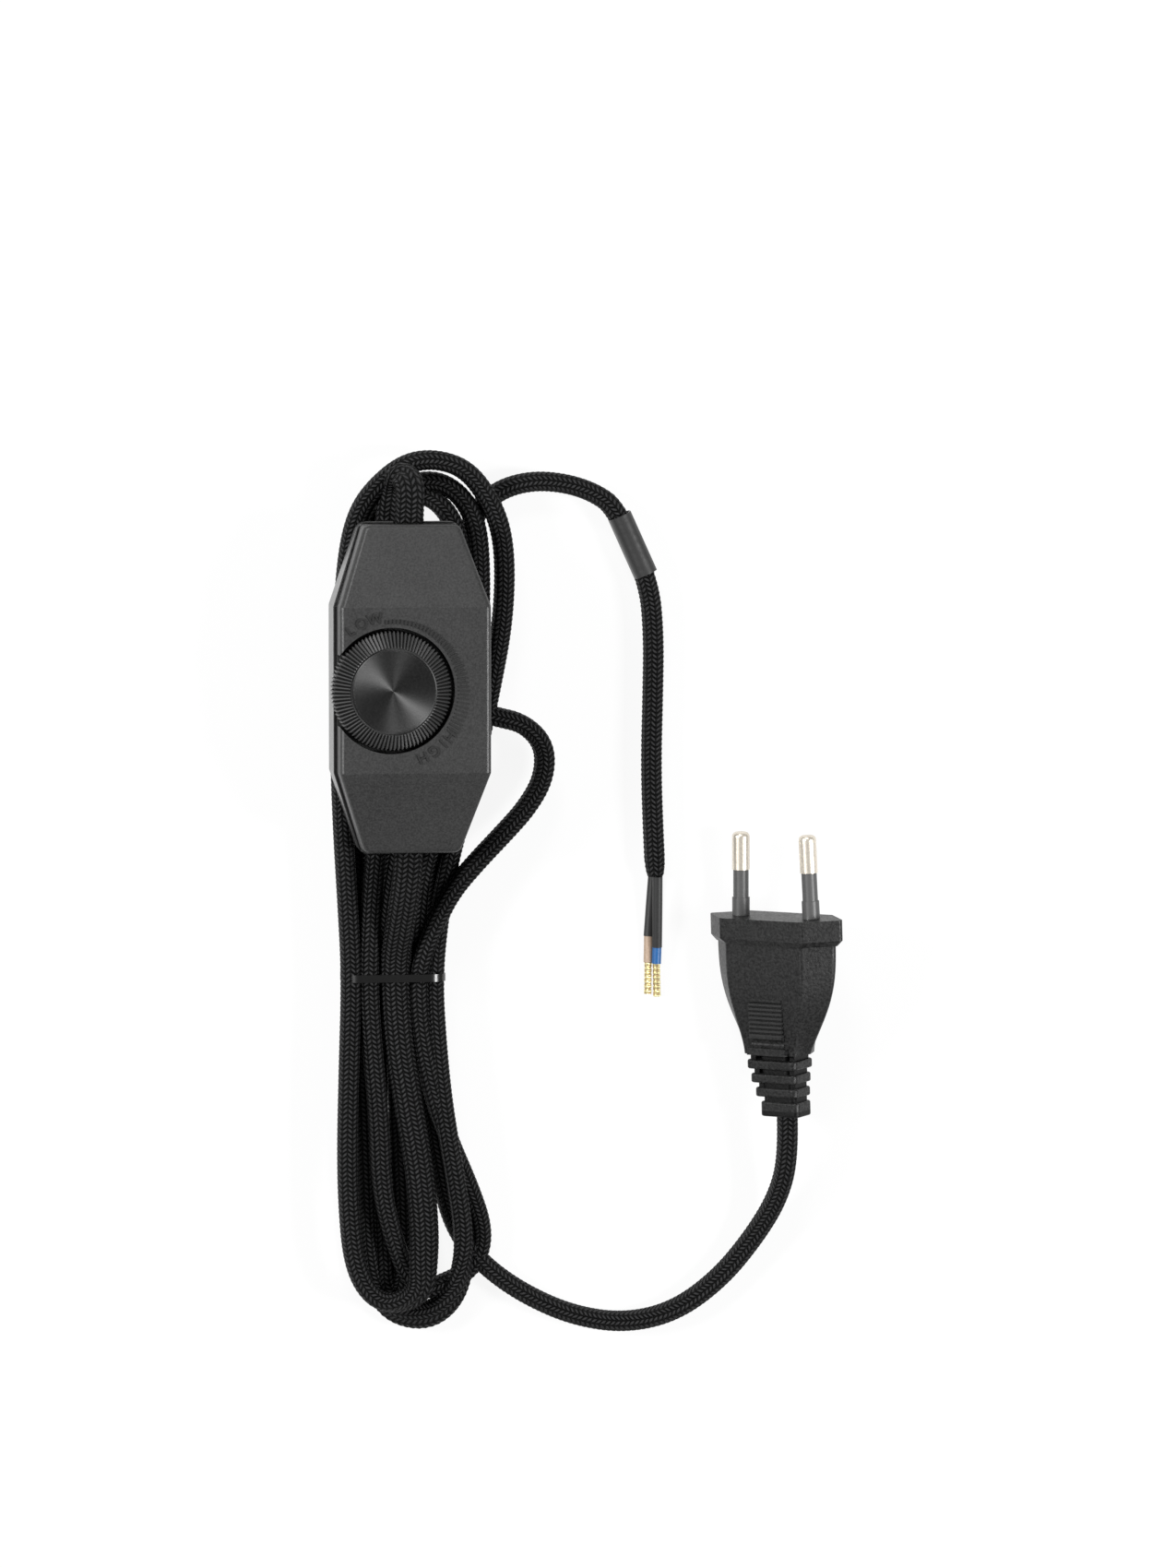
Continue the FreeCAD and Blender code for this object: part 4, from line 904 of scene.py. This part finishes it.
        def cell(vertex: bmesh.types.BMVert) -> tuple[int, int]:
            """The numbers of a grid point's ring and of its step round it."""
            return round((vertex.co.x + 0.5) * last), round((vertex.co.y + 0.5) * self.around)

        for face in shape.faces:
            for loop in face.loops:
                ring, step = cell(loop.vert)
                loop[uv].uv = (ring * self.step, step / self.around)
        for vertex in shape.verts:
            ring, step = cell(vertex)
            swell = self.swell(ring, step, (last - ring) * self.step)
            x, y = (value * swell * MM for value in outline[step])
            vertex.co = seats[ring] @ Vector((x, y, 0.0))
        bmesh.ops.remove_doubles(shape, verts=shape.verts, dist=WELD)
        ends = [edge for edge in shape.edges if edge.is_boundary]
        bmesh.ops.holes_fill(shape, edges=ends, sides=self.around)
        bmesh.ops.recalc_face_normals(shape, faces=shape.faces)
        self.path = places
        self.length = sum((second - first).length for first, second in zip(places, places[1:]))
        return shape

    def build(self, braid: bpy.types.Material) -> None:
        """Adds the cord, dressed, on the dimmer's body, in place of the model's nodes that it
        stands for.

        Args:
            braid: the braid's material.
        """
        piece = new_piece(self.name, self.tube())
        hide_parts(*self.replaced)
        dress(piece, braid)
        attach(piece, FIXED_BODY)
        LOG.info("%s is %.1f mm long", self.name, self.length / MM)


# The cords' routes. A tuple holds x, y and z in millimetres and the turn from the wide side in
# degrees. The heights are those of the exits, the lower and the upper layer, and the sleeve.
EDGE = Lie.EDGE.value
FLAT = Lie.FLAT.value
CORD_Z = -4.1
LOW_Z = -21.35
HIGH_Z = -14.85
SLEEVE_Z = -20.9

MAINS_ROUTE = [
    (0.5, -28.3, CORD_Z, FLAT),
    (0.5, -37.6, CORD_Z, FLAT),
    (-0.05, -46.0, -5.6, FLAT),
    (-0.75, -53.8, -9.6, FLAT),
    (-1.35, -60.4, -13.3, FLAT),
    (-1.45, -66.0, -14.1, FLAT),
    (-0.65, -80.7, -13.8, FLAT),
    (1.65, -95.4, -13.8, FLAT),
    (4.15, -110.1, -13.8, 4.0),
    (5.25, -123.8, -13.9, 6.0),
    (5.0, -131.2, -14.1, 12.0),
    (4.6, -136.8, -14.4, 30.0),
    (1.0, -139.9, -14.8, 58.0),
    (-4.2, -140.0, -15.0, EDGE),
    (-8.05, -137.0, HIGH_Z, EDGE),
    (-10.65, -131.0, HIGH_Z, EDGE),
    (-11.75, -122.5, HIGH_Z, EDGE),
    (-12.35, -107.9, HIGH_Z, EDGE),
    (-11.85, -87.0, HIGH_Z, EDGE),
    (-11.15, -65.9, -15.1, EDGE),
    (-12.05, -49.4, HIGH_Z, EDGE),
    (-13.05, -32.7, HIGH_Z, EDGE),
    (-13.65, -16.0, HIGH_Z, EDGE),
    (-13.35, -1.5, HIGH_Z, EDGE),
    (-12.95, 15.1, HIGH_Z, EDGE),
    (-11.85, 29.6, HIGH_Z, EDGE),
    (-9.75, 38.3, HIGH_Z, EDGE),
    (-5.95, 44.1, HIGH_Z, EDGE),
    (0.75, 49.7, HIGH_Z, EDGE),
    (7.65, 50.9, HIGH_Z, EDGE),
    (14.95, 48.6, HIGH_Z, EDGE),
    (20.15, 41.9, HIGH_Z, EDGE),
    (23.05, 34.6, HIGH_Z, EDGE),
    (23.85, 25.2, HIGH_Z, EDGE),
    (23.35, 12.7, -16.5, EDGE),
    (21.05, -1.0, -18.5, EDGE),
    (17.85, -16.7, -19.5, EDGE),
    (14.25, -30.2, -19.0, EDGE),
    (11.45, -39.4, -17.5, EDGE),
    (8.95, -51.9, -16.6, EDGE),
    (7.45, -66.3, -16.3, EDGE),
    (8.15, -81.0, -15.4, EDGE),
    (9.55, -95.7, HIGH_Z, EDGE),
    (12.55, -112.6, -15.5, EDGE),
    (14.65, -125.4, -17.0, EDGE),
    (14.35, -135.0, -18.5, 60.0),
    (10.95, -141.2, -19.5, 32.0),
    (5.75, -144.2, -20.2, 22.0),
    (-1.35, -142.6, -20.8, 50.0),
    (-5.2, -137.7, LOW_Z, EDGE),
    (-7.0, -130.1, LOW_Z, EDGE),
    (-7.5, -119.1, LOW_Z, EDGE),
    (-8.2, -96.0, LOW_Z, EDGE),
    (-9.85, -66.4, -20.5, EDGE),
    (-9.35, -39.5, LOW_Z, EDGE),
    (-9.45, -12.3, LOW_Z, EDGE),
    (-8.95, 12.7, LOW_Z, EDGE),
    (-6.65, 34.5, LOW_Z, EDGE),
    (-2.15, 42.2, -20.5, EDGE),
    (3.15, 45.2, -19.5, EDGE),
    (8.9, 45.9, -18.5, EDGE),
    (13.9, 42.8, -17.5, EDGE),
    (17.2, 37.2, -16.5, EDGE),
    (18.2, 29.3, -15.4, EDGE),
    (18.05, 12.8, HIGH_Z, EDGE),
    (16.95, -1.8, HIGH_Z, EDGE),
    (13.15, -18.5, -16.5, EDGE),
    (9.05, -31.1, -18.5, EDGE),
    (6.25, -43.8, -20.0, EDGE),
    (4.75, -66.6, -20.5, EDGE),
    (5.75, -81.6, LOW_Z, EDGE),
    (7.25, -96.3, LOW_Z, EDGE),
    (9.35, -109.0, LOW_Z, EDGE),
    (11.65, -120.0, LOW_Z, EDGE),
    (15.25, -127.6, LOW_Z, EDGE),
    (21.25, -134.0, LOW_Z, EDGE),
    (29.65, -139.8, LOW_Z, EDGE),
    (40.25, -144.6, LOW_Z, EDGE),
    (52.05, -146.6, LOW_Z, EDGE),
    (63.65, -144.2, LOW_Z, EDGE),
    (74.05, -136.8, LOW_Z, EDGE),
    (82.05, -127.0, -20.6, EDGE),
    (87.05, -117.4, -17.2, EDGE),
    (88.55, -107.6, -13.5, EDGE),
    (88.2, -98.6, -13.1, EDGE),
]

LAMP_ROUTE = [
    (0.5, 28.3, CORD_Z, FLAT),
    (0.5, 37.6, CORD_Z, FLAT),
    (1.15, 46.9, -4.2, FLAT),
    (-1.35, 46.7, -13.9, FLAT),
    (-2.65, 37.8, -14.1, FLAT),
    (-1.95, 25.5, -13.8, FLAT),
    (2.15, 13.0, -13.8, FLAT),
    (8.55, 2.5, -14.2, 35.0),
    (15.65, -5.4, -15.1, 75.0),
    (21.25, -7.4, -15.2, EDGE),
    (28.25, -9.0, -16.2, EDGE),
    (33.25, -14.2, -17.4, EDGE),
    (33.05, -21.6, -17.6, EDGE),
    (29.05, -28.2, -16.8, EDGE),
    (23.45, -34.0, -15.6, EDGE),
    (17.45, -40.0, HIGH_Z, EDGE),
    (11.65, -46.6, HIGH_Z, EDGE),
    (8.25, -53.0, HIGH_Z, EDGE),
    (5.65, -59.0, -14.9, EDGE),
    (3.75, -66.1, -15.15, EDGE),
    (4.45, -78.8, HIGH_Z, EDGE),
    (7.05, -91.5, -15.2, EDGE),
    (10.55, -102.2, -16.5, EDGE),
    (16.25, -114.8, -19.5, EDGE),
    (19.45, -123.9, LOW_Z, EDGE),
    (18.6, -130.6, LOW_Z, EDGE),
    (14.6, -134.9, LOW_Z, EDGE),
    (10.6, -136.6, -20.8, EDGE),
    (6.2, -138.0, -20.0, EDGE),
    (1.9, -134.6, -19.2, EDGE),
    (-1.6, -125.6, -17.6, EDGE),
    (-4.4, -114.4, -16.2, EDGE),
    (-4.95, -98.6, -15.2, EDGE),
    (-6.65, -80.8, HIGH_Z, EDGE),
    (-7.45, -65.9, -15.15, EDGE),
    (-6.75, -51.5, HIGH_Z, EDGE),
    (-5.75, -39.0, HIGH_Z, EDGE),
    (-3.95, -20.3, -15.2, EDGE),
    (-1.65, -1.7, -16.5, EDGE),
    (-1.55, 19.0, -18.5, EDGE),
    (-1.15, 34.5, -20.0, EDGE),
    (1.25, 42.0, -20.8, EDGE),
    (4.6, 42.8, -20.3, EDGE),
    (8.5, 41.5, -19.0, EDGE),
    (11.6, 37.9, -17.5, EDGE),
    (13.8, 32.2, -16.4, EDGE),
    (14.95, 21.1, -15.4, EDGE),
    (14.85, 8.7, HIGH_Z, EDGE),
    (13.85, -1.7, HIGH_Z, EDGE),
    (10.25, -14.3, -16.5, EDGE),
    (6.35, -26.9, -18.5, EDGE),
    (2.45, -40.6, -20.0, EDGE),
    (0.05, -66.5, -20.5, EDGE),
    (-0.2, -81.5, LOW_Z, EDGE),
    (0.2, -96.2, LOW_Z, EDGE),
    (0.7, -110.0, LOW_Z, EDGE),
    (1.2, -121.0, LOW_Z, EDGE),
    (1.2, -131.0, LOW_Z, EDGE),
    (0.7, -137.4, LOW_Z, EDGE),
    (-1.2, -139.2, LOW_Z, EDGE),
    (-3.1, -137.2, LOW_Z, EDGE),
    (-3.3, -128.0, LOW_Z, EDGE),
    (-3.9, -118.0, LOW_Z, EDGE),
    (-4.2, -106.0, LOW_Z, EDGE),
    (-4.6, -91.9, LOW_Z, EDGE),
    (-5.05, -66.5, -20.5, EDGE),
    (-3.85, -52.1, LOW_Z, EDGE),
    (-1.15, -35.4, LOW_Z, EDGE),
    (3.75, -16.7, LOW_Z, EDGE),
    (7.35, -2.1, LOW_Z, EDGE),
    (9.85, 10.4, LOW_Z, EDGE),
    (11.55, 20.8, LOW_Z, EDGE),
    (13.45, 28.2, LOW_Z, EDGE),
    (16.25, 33.6, LOW_Z, EDGE),
    (18.65, 39.4, LOW_Z, EDGE),
    (23.65, 43.6, LOW_Z, EDGE),
    (30.65, 45.5, LOW_Z, EDGE),
    (38.25, 45.0, LOW_Z, EDGE),
    (45.05, 42.8, LOW_Z, EDGE),
    (50.05, 39.2, SLEEVE_Z, EDGE),
    (57.55, 22.6, SLEEVE_Z, EDGE),
    (58.75, 10.6, LOW_Z, EDGE),
    (58.55, -3.4, LOW_Z, EDGE),
    (58.15, -18.6, LOW_Z, EDGE),
    (58.55, -32.0, LOW_Z, EDGE),
    (59.15, -44.5, LOW_Z, EDGE),
]

CORDS = (
    FlatCord(
        "mains_cord",
        MAINS_ROUTE,
        replaced=("cord_hank", "mains_cord_exit", "mains_lead"),
        exit_place=(0.5, -36.75, CORD_Z),
        far_end="plug",
        pieces=["plug_body", "left_pin", "right_pin", "left_pin_sleeve", "right_pin_sleeve"],
    ),
    FlatCord(
        "lamp_cord",
        LAMP_ROUTE,
        replaced=("lamp_cord_exit", "side_loop", "lamp_lead"),
        exit_place=(0.5, 36.75, CORD_Z),
        far_end="bare",
        pieces=[
            "shrink_sleeve", "brown_sheath", "brown_core", "brown_ferrule",
            "blue_sheath", "blue_core", "blue_ferrule", "binding_band",
        ],
        ragged=4.0,
    ),
)


@dataclass
class Studio:
    """A white floor, soft lamps and the camera.

    Attributes:
        floor_z: the floor's height in millimetres.
        floor_reach: how far the floor reaches each way from the origin, in metres.
        paper: how light the floor's own grey is, under the lamps.
        floor_share: how much of the floor the camera sees as its own light, as a share.
        floor_light: how bright that light is.
        floor_sheen: how brightly the floor shows in reflections.
        place: the camera's place in millimetres.
        target: what it looks at, in the middle of the picture.
        tilt: how far the picture's right side is raised above level, in degrees.
        lens: its focal length in millimetres, for the sensor along the picture's height.
        sensor: the sensor's size in millimetres.
        far: how far the camera sees, in metres.
        sky: the strength of the light from all round.
        lamp_aim: the point that the lamps shine at, in millimetres.
        lamps: each lamp's name, its place and the length of its side in millimetres, and its watts.
    """

    floor_z: float = -24.6
    floor_reach: float = 6.0
    paper: float = 0.4
    floor_share: float = 0.75
    floor_light: float = 1.2
    floor_sheen: float = 1.0
    place: Point = (-256.35, 120.5, 1962.5)
    target: Point = (41.99, -22.53, -10.0)
    tilt: float = 8.6
    lens: float = 203.71
    sensor: float = 36.0
    far: float = 20.0
    sky: float = 0.2
    lamp_aim: Point = (30.0, -30.0, -10.0)
    lamps: tuple[tuple[str, Point, float, float], ...] = (
        ("left", (-1150.0, 200.0, 900.0), 350.0, 18.0),
        ("top", (-300.0, 1100.0, 1000.0), 350.0, 8.0),
        ("right", (1000.0, -200.0, 1000.0), 350.0, 15.0),
    )

    def camera(self) -> None:
        """Adds the camera, upright on the picture, and makes it the scene's."""
        data = bpy.data.cameras.new("camera")
        data.lens = self.lens
        data.sensor_width = self.sensor
        data.sensor_fit = "AUTO"
        data.clip_end = self.far
        camera = bpy.data.objects.new("camera", data)
        bpy.context.scene.collection.objects.link(camera)
        place = metres(*self.place)
        forward = (metres(*self.target) - place).normalized()
        tilt = math.radians(self.tilt)
        right = Vector((math.cos(tilt), 0.0, math.sin(tilt)))
        upward = right.cross(forward).normalized()
        turned = Matrix((right, upward, -forward)).transposed().to_4x4()
        turned.translation = place
        camera.matrix_world = turned
        bpy.context.scene.camera = camera

    def floor(self) -> None:
        """Adds the white floor, which keeps the object's shadow."""
        shape = bmesh.new()
        bmesh.ops.create_grid(shape, x_segments=1, y_segments=1, size=self.floor_reach)
        bmesh.ops.translate(shape, verts=shape.verts, vec=(0.0, 0.0, self.floor_z * MM))
        floor = new_piece("floor", shape, smooth=False)
        recipe = Recipe("white_floor")
        seen = recipe.node("ShaderNodeLightPath", output="Is Camera Ray")
        mirrored = recipe.node("ShaderNodeLightPath", output="Is Glossy Ray")
        paper = recipe.node("ShaderNodeBsdfDiffuse", None, {"Color": (*grey(self.paper), 1.0)})
        light = recipe.node("ShaderNodeEmission", None, {"Strength": self.floor_light})
        sheen = recipe.node("ShaderNodeEmission", None, {"Strength": self.floor_sheen})
        factor = seen * self.floor_share
        plain = recipe.node("ShaderNodeMixShader", None, {0: factor, 1: paper, 2: light})
        both = recipe.node("ShaderNodeMixShader", None, {0: mirrored, 1: plain, 2: sheen})
        recipe.show(both)
        dress(floor, recipe.material)

    def lamp(self, name: str, place: Point, size: float, power: float) -> None:
        """Adds a soft square lamp that points at the object.

        Args:
            name: its name.
            place: its place in millimetres.
            size: the length of its side in millimetres.
            power: its power in watts.
        """
        data = bpy.data.lights.new(name, "AREA")
        data.size = size * MM
        data.energy = power
        lamp = bpy.data.objects.new(name, data)
        bpy.context.scene.collection.objects.link(lamp)
        where = metres(*place)
        aim = (metres(*self.lamp_aim) - where).to_track_quat("-Z", "Y")
        lamp.matrix_world = Matrix.LocRotScale(where, aim, None)

    def world(self) -> None:
        """Fills the surroundings with a pale light."""
        world = bpy.data.worlds.new("studio")
        world.use_nodes = True
        tree = world.node_tree
        tree.nodes.clear()
        back = tree.nodes.new("ShaderNodeBackground")
        out = tree.nodes.new("ShaderNodeOutputWorld")
        tree.links.new(back.outputs[0], out.inputs[0])
        back.inputs["Color"].default_value = (1.0, 1.0, 1.0, 1.0)
        back.inputs["Strength"].default_value = self.sky
        bpy.context.scene.world = world

    def build(self) -> None:
        """Sets up the whole studio."""
        bpy.context.scene.view_settings.view_transform = "Standard"
        self.camera()
        self.floor()
        self.world()
        for lamp in self.lamps:
            self.lamp(*lamp)
        LOG.info("the studio has %d lamps", len(self.lamps))


@dataclass
class DialMarks:
    """The raised LOW and HIGH and the strokes between them, round the dial on the cover's face.

    Lengths are in millimetres.

    Attributes:
        axis_x: where the dial's axis is across the dimmer.
        face_z: the height of the cover's face.
        rise: how far the marks stand out of it.
        inner: the distance of the strokes' inner ends from the axis.
        stroke_width: the width of a stroke.
        reaches: the lengths of the first and the last stroke.
        angles: the directions of the first and the last stroke, in degrees from +X.
        count: the number of strokes.
        words: each word with its letters' directions.
        letter_radius: the distance of the letters' middles from the axis.
        letter_size: the letters' size as a font has it.
        finish: the marks' material, the cover's plastic painted darker as painted shade.
    """

    axis_x: float = DIAL_X
    face_z: float = 8.4
    rise: float = 0.3
    inner: float = 14.95
    stroke_width: float = 0.35
    reaches: tuple[float, float] = (0.9, 2.6)
    angles: tuple[float, float] = (95.0, -33.0)
    count: int = 40
    words: tuple[tuple[str, tuple[float, ...]], ...] = (
        ("LOW", (125.0, 114.5, 103.5)),
        ("HIGH", (-38.5, -46.0, -55.0, -65.5)),
    )
    letter_radius: float = 16.35
    letter_size: float = 3.4
    # The marks' colour is the cover's plastic painted darker, as painted shade.
    finish: Finish = Finish("marks_plastic_painted_shade", grey(0.010), 0.5, grain=0.45, depth=0.02)

    def seat(self, angle: float, radius: float) -> Matrix:
        """A place on the face, turned so that its Y points away from the dial.

        Args:
            angle: its direction from the axis, in degrees.
            radius: its distance from the axis, in millimetres.

        Returns:
            The place as a matrix.
        """
        turn = math.radians(angle)
        x = self.axis_x + radius * math.cos(turn)
        place = Matrix.Translation(metres(x, radius * math.sin(turn), self.face_z))
        return place @ Matrix.Rotation(turn - math.pi / 2, 4, "Z")

    def stroke(self, shape: bmesh.types.BMesh, share: float) -> None:
        """Adds one stroke.

        Args:
            shape: the shape of all the marks, which gets it.
            share: how far it is from the first stroke to the last, from zero to one.
        """
        first, last = self.reaches
        length = first + (last - first) * share
        angle = self.angles[0] + (self.angles[1] - self.angles[0]) * share
        size = Matrix.Diagonal((self.stroke_width * MM, length * MM, 2 * self.rise * MM, 1.0))
        place = self.seat(angle, self.inner + length / 2)
        bmesh.ops.create_cube(shape, size=1.0, matrix=place @ size)

    def letter(self, shape: bmesh.types.BMesh, character: str, angle: float) -> None:
        """Adds one letter whose foot points to the dial.

        Args:
            shape: the shape of all the marks, which gets it.
            character: the letter.
            angle: its direction from the axis, in degrees.
        """
        curve = bpy.data.curves.new(character, "FONT")
        curve.body = character
        curve.size = self.letter_size * MM
        curve.extrude = self.rise * MM
        curve.align_x = "CENTER"
        curve.align_y = "CENTER"
        holder = bpy.data.objects.new(character, curve)
        mesh = bpy.data.meshes.new_from_object(holder)
        mesh.transform(self.seat(angle, self.letter_radius))
        shape.from_mesh(mesh)
        bpy.data.meshes.remove(mesh)
        bpy.data.objects.remove(holder)
        bpy.data.curves.remove(curve)

    def build(self) -> None:
        """Adds all the marks as one piece, dressed, on the dimmer's body."""
        shape = bmesh.new()
        for step in range(self.count):
            self.stroke(shape, step / (self.count - 1))
        for word, angles in self.words:
            for character, angle in zip(word, angles):
                self.letter(shape, character, angle)
        marks = new_piece("dial_marks", shape, smooth=False)
        dress(marks, self.finish.made())
        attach(marks, FIXED_BODY)
        LOG.info("dial_marks has %d strokes and %d words", self.count, len(self.words))


# Each finish with the model's nodes that wear it
FINISHES: list[tuple[Finish, tuple[str, ...]]] = [
    (Finish("cover_plastic", grey(0.029), 0.34, grain=0.45, depth=0.035, spread=0.55),
     ("upper_cover",)),
    # The base is the cover's plastic painted a little lighter, as painted light on its lit side
    # strip, and made glossier.
    (Finish("base_plastic", grey(0.035), 0.22, grain=0.45, depth=0.01, spread=0.55, specular=0.9),
     ("base_shell",)),
    (TurnedTop("dial_plastic", grey(0.028), 0.36, grain=0.5, depth=0.02, spread=0.95,
               specular=0.8, brushed=0.92),
     ("dial_wheel",)),
    (Gripped("plug_plastic", grey(0.018), 0.30, grain=0.6, depth=0.06, spread=0.95, specular=0.22),
     ("plug_body",)),
    (Finish("pin_plating", (0.84, 0.77, 0.66), 0.32, metallic=0.7, grain=0.5, depth=0.0),
     ("left_pin", "right_pin")),
    (Finish("pin_sleeves", grey(0.085), 0.4, grain=0.3, depth=0.01),
     ("left_pin_sleeve", "right_pin_sleeve")),
    (Finish("band_rubber", grey(0.005), 0.24, grain=0.5, depth=0.0), ("binding_band",)),
    (Rippled("shrunk_sleeve", grey(0.028), 0.42, grain=0.3, depth=0.0), ("shrink_sleeve",)),
    (Finish("sheath_plastic", grey(0.03), 0.45, specular=0.3), ("brown_sheath", "blue_sheath")),
    (Finish("brown_insulation", (0.45, 0.33, 0.24), 0.4, grain=0.4, depth=0.01),
     ("brown_core", "mains_cores")),
    (Finish("blue_insulation", (0.015, 0.11, 0.32), 0.4, grain=0.4, depth=0.01),
     ("blue_core", "lamp_cores")),
    (Crimped("brass_ends", (0.88, 0.63, 0.33), 0.28, metallic=0.6, grain=0.2, depth=0.006,
             spread=0.45),
     ("brown_ferrule", "blue_ferrule")),
    (Finish("screw_plating", grey(0.62, 0.02), 0.3, metallic=1.0, grain=0.3, depth=0.006),
     ("housing_screws", "terminal_screws", "clamp_screws")),
    (Finish("shaft_aluminium", grey(0.74), 0.28, metallic=1.0, grain=0.2, depth=0.006),
     ("pot_shaft",)),
    (Finish("can_steel", grey(0.60, 0.01), 0.35, metallic=1.0, grain=0.25, depth=0.006),
     ("potentiometer_body",)),
    (Finish("board_lacquer", (0.03, 0.14, 0.06), 0.3, grain=0.6, depth=0.01), ("circuit_board",)),
    (Finish("part_moulding", grey(0.02), 0.35, grain=0.25, depth=0.01), ("triac",)),
    (Finish("ferrite", grey(0.09), 0.75, grain=0.2, depth=0.03), ("choke_core",)),
    (Finish("copper_wire", (0.72, 0.36, 0.18), 0.3, metallic=1.0, grain=0.3, depth=0.004),
     ("choke_winding",)),
    (Finish("capacitor_lacquer", (0.42, 0.06, 0.03), 0.25, grain=0.8, depth=0.01),
     ("film_capacitor",)),
    (Finish("fuse_glass", (0.72, 0.70, 0.62), 0.12, grain=0.6, depth=0.004), ("fuse",)),
    (Finish("resistor_lacquer", (0.55, 0.42, 0.25), 0.3, grain=0.5, depth=0.01), ("resistors",)),
    (Finish("terminal_moulding", grey(0.28), 0.45, grain=0.3),
     ("mains_terminal", "lamp_terminal")),
    (Finish("clamp_moulding", grey(0.03), 0.5, grain=0.3),
     ("mains_cord_clamp", "lamp_cord_clamp")),
]


def main() -> None:
    """Builds the pieces in order and finishes the scene."""
    logging.basicConfig(level=logging.INFO, format="%(name)s: %(message)s")
    Studio().build()
    braid = Braid("black_braid").made()
    for cord in CORDS:
        cord.build(braid)
    for finish, nodes in FINISHES:
        material = finish.made()
        for node in nodes:
            dress(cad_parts[node], material)
        LOG.info("%s is worn by %s", finish.name, ", ".join(nodes))
    DialMarks().build()


if __name__ == "__main__":
    main()
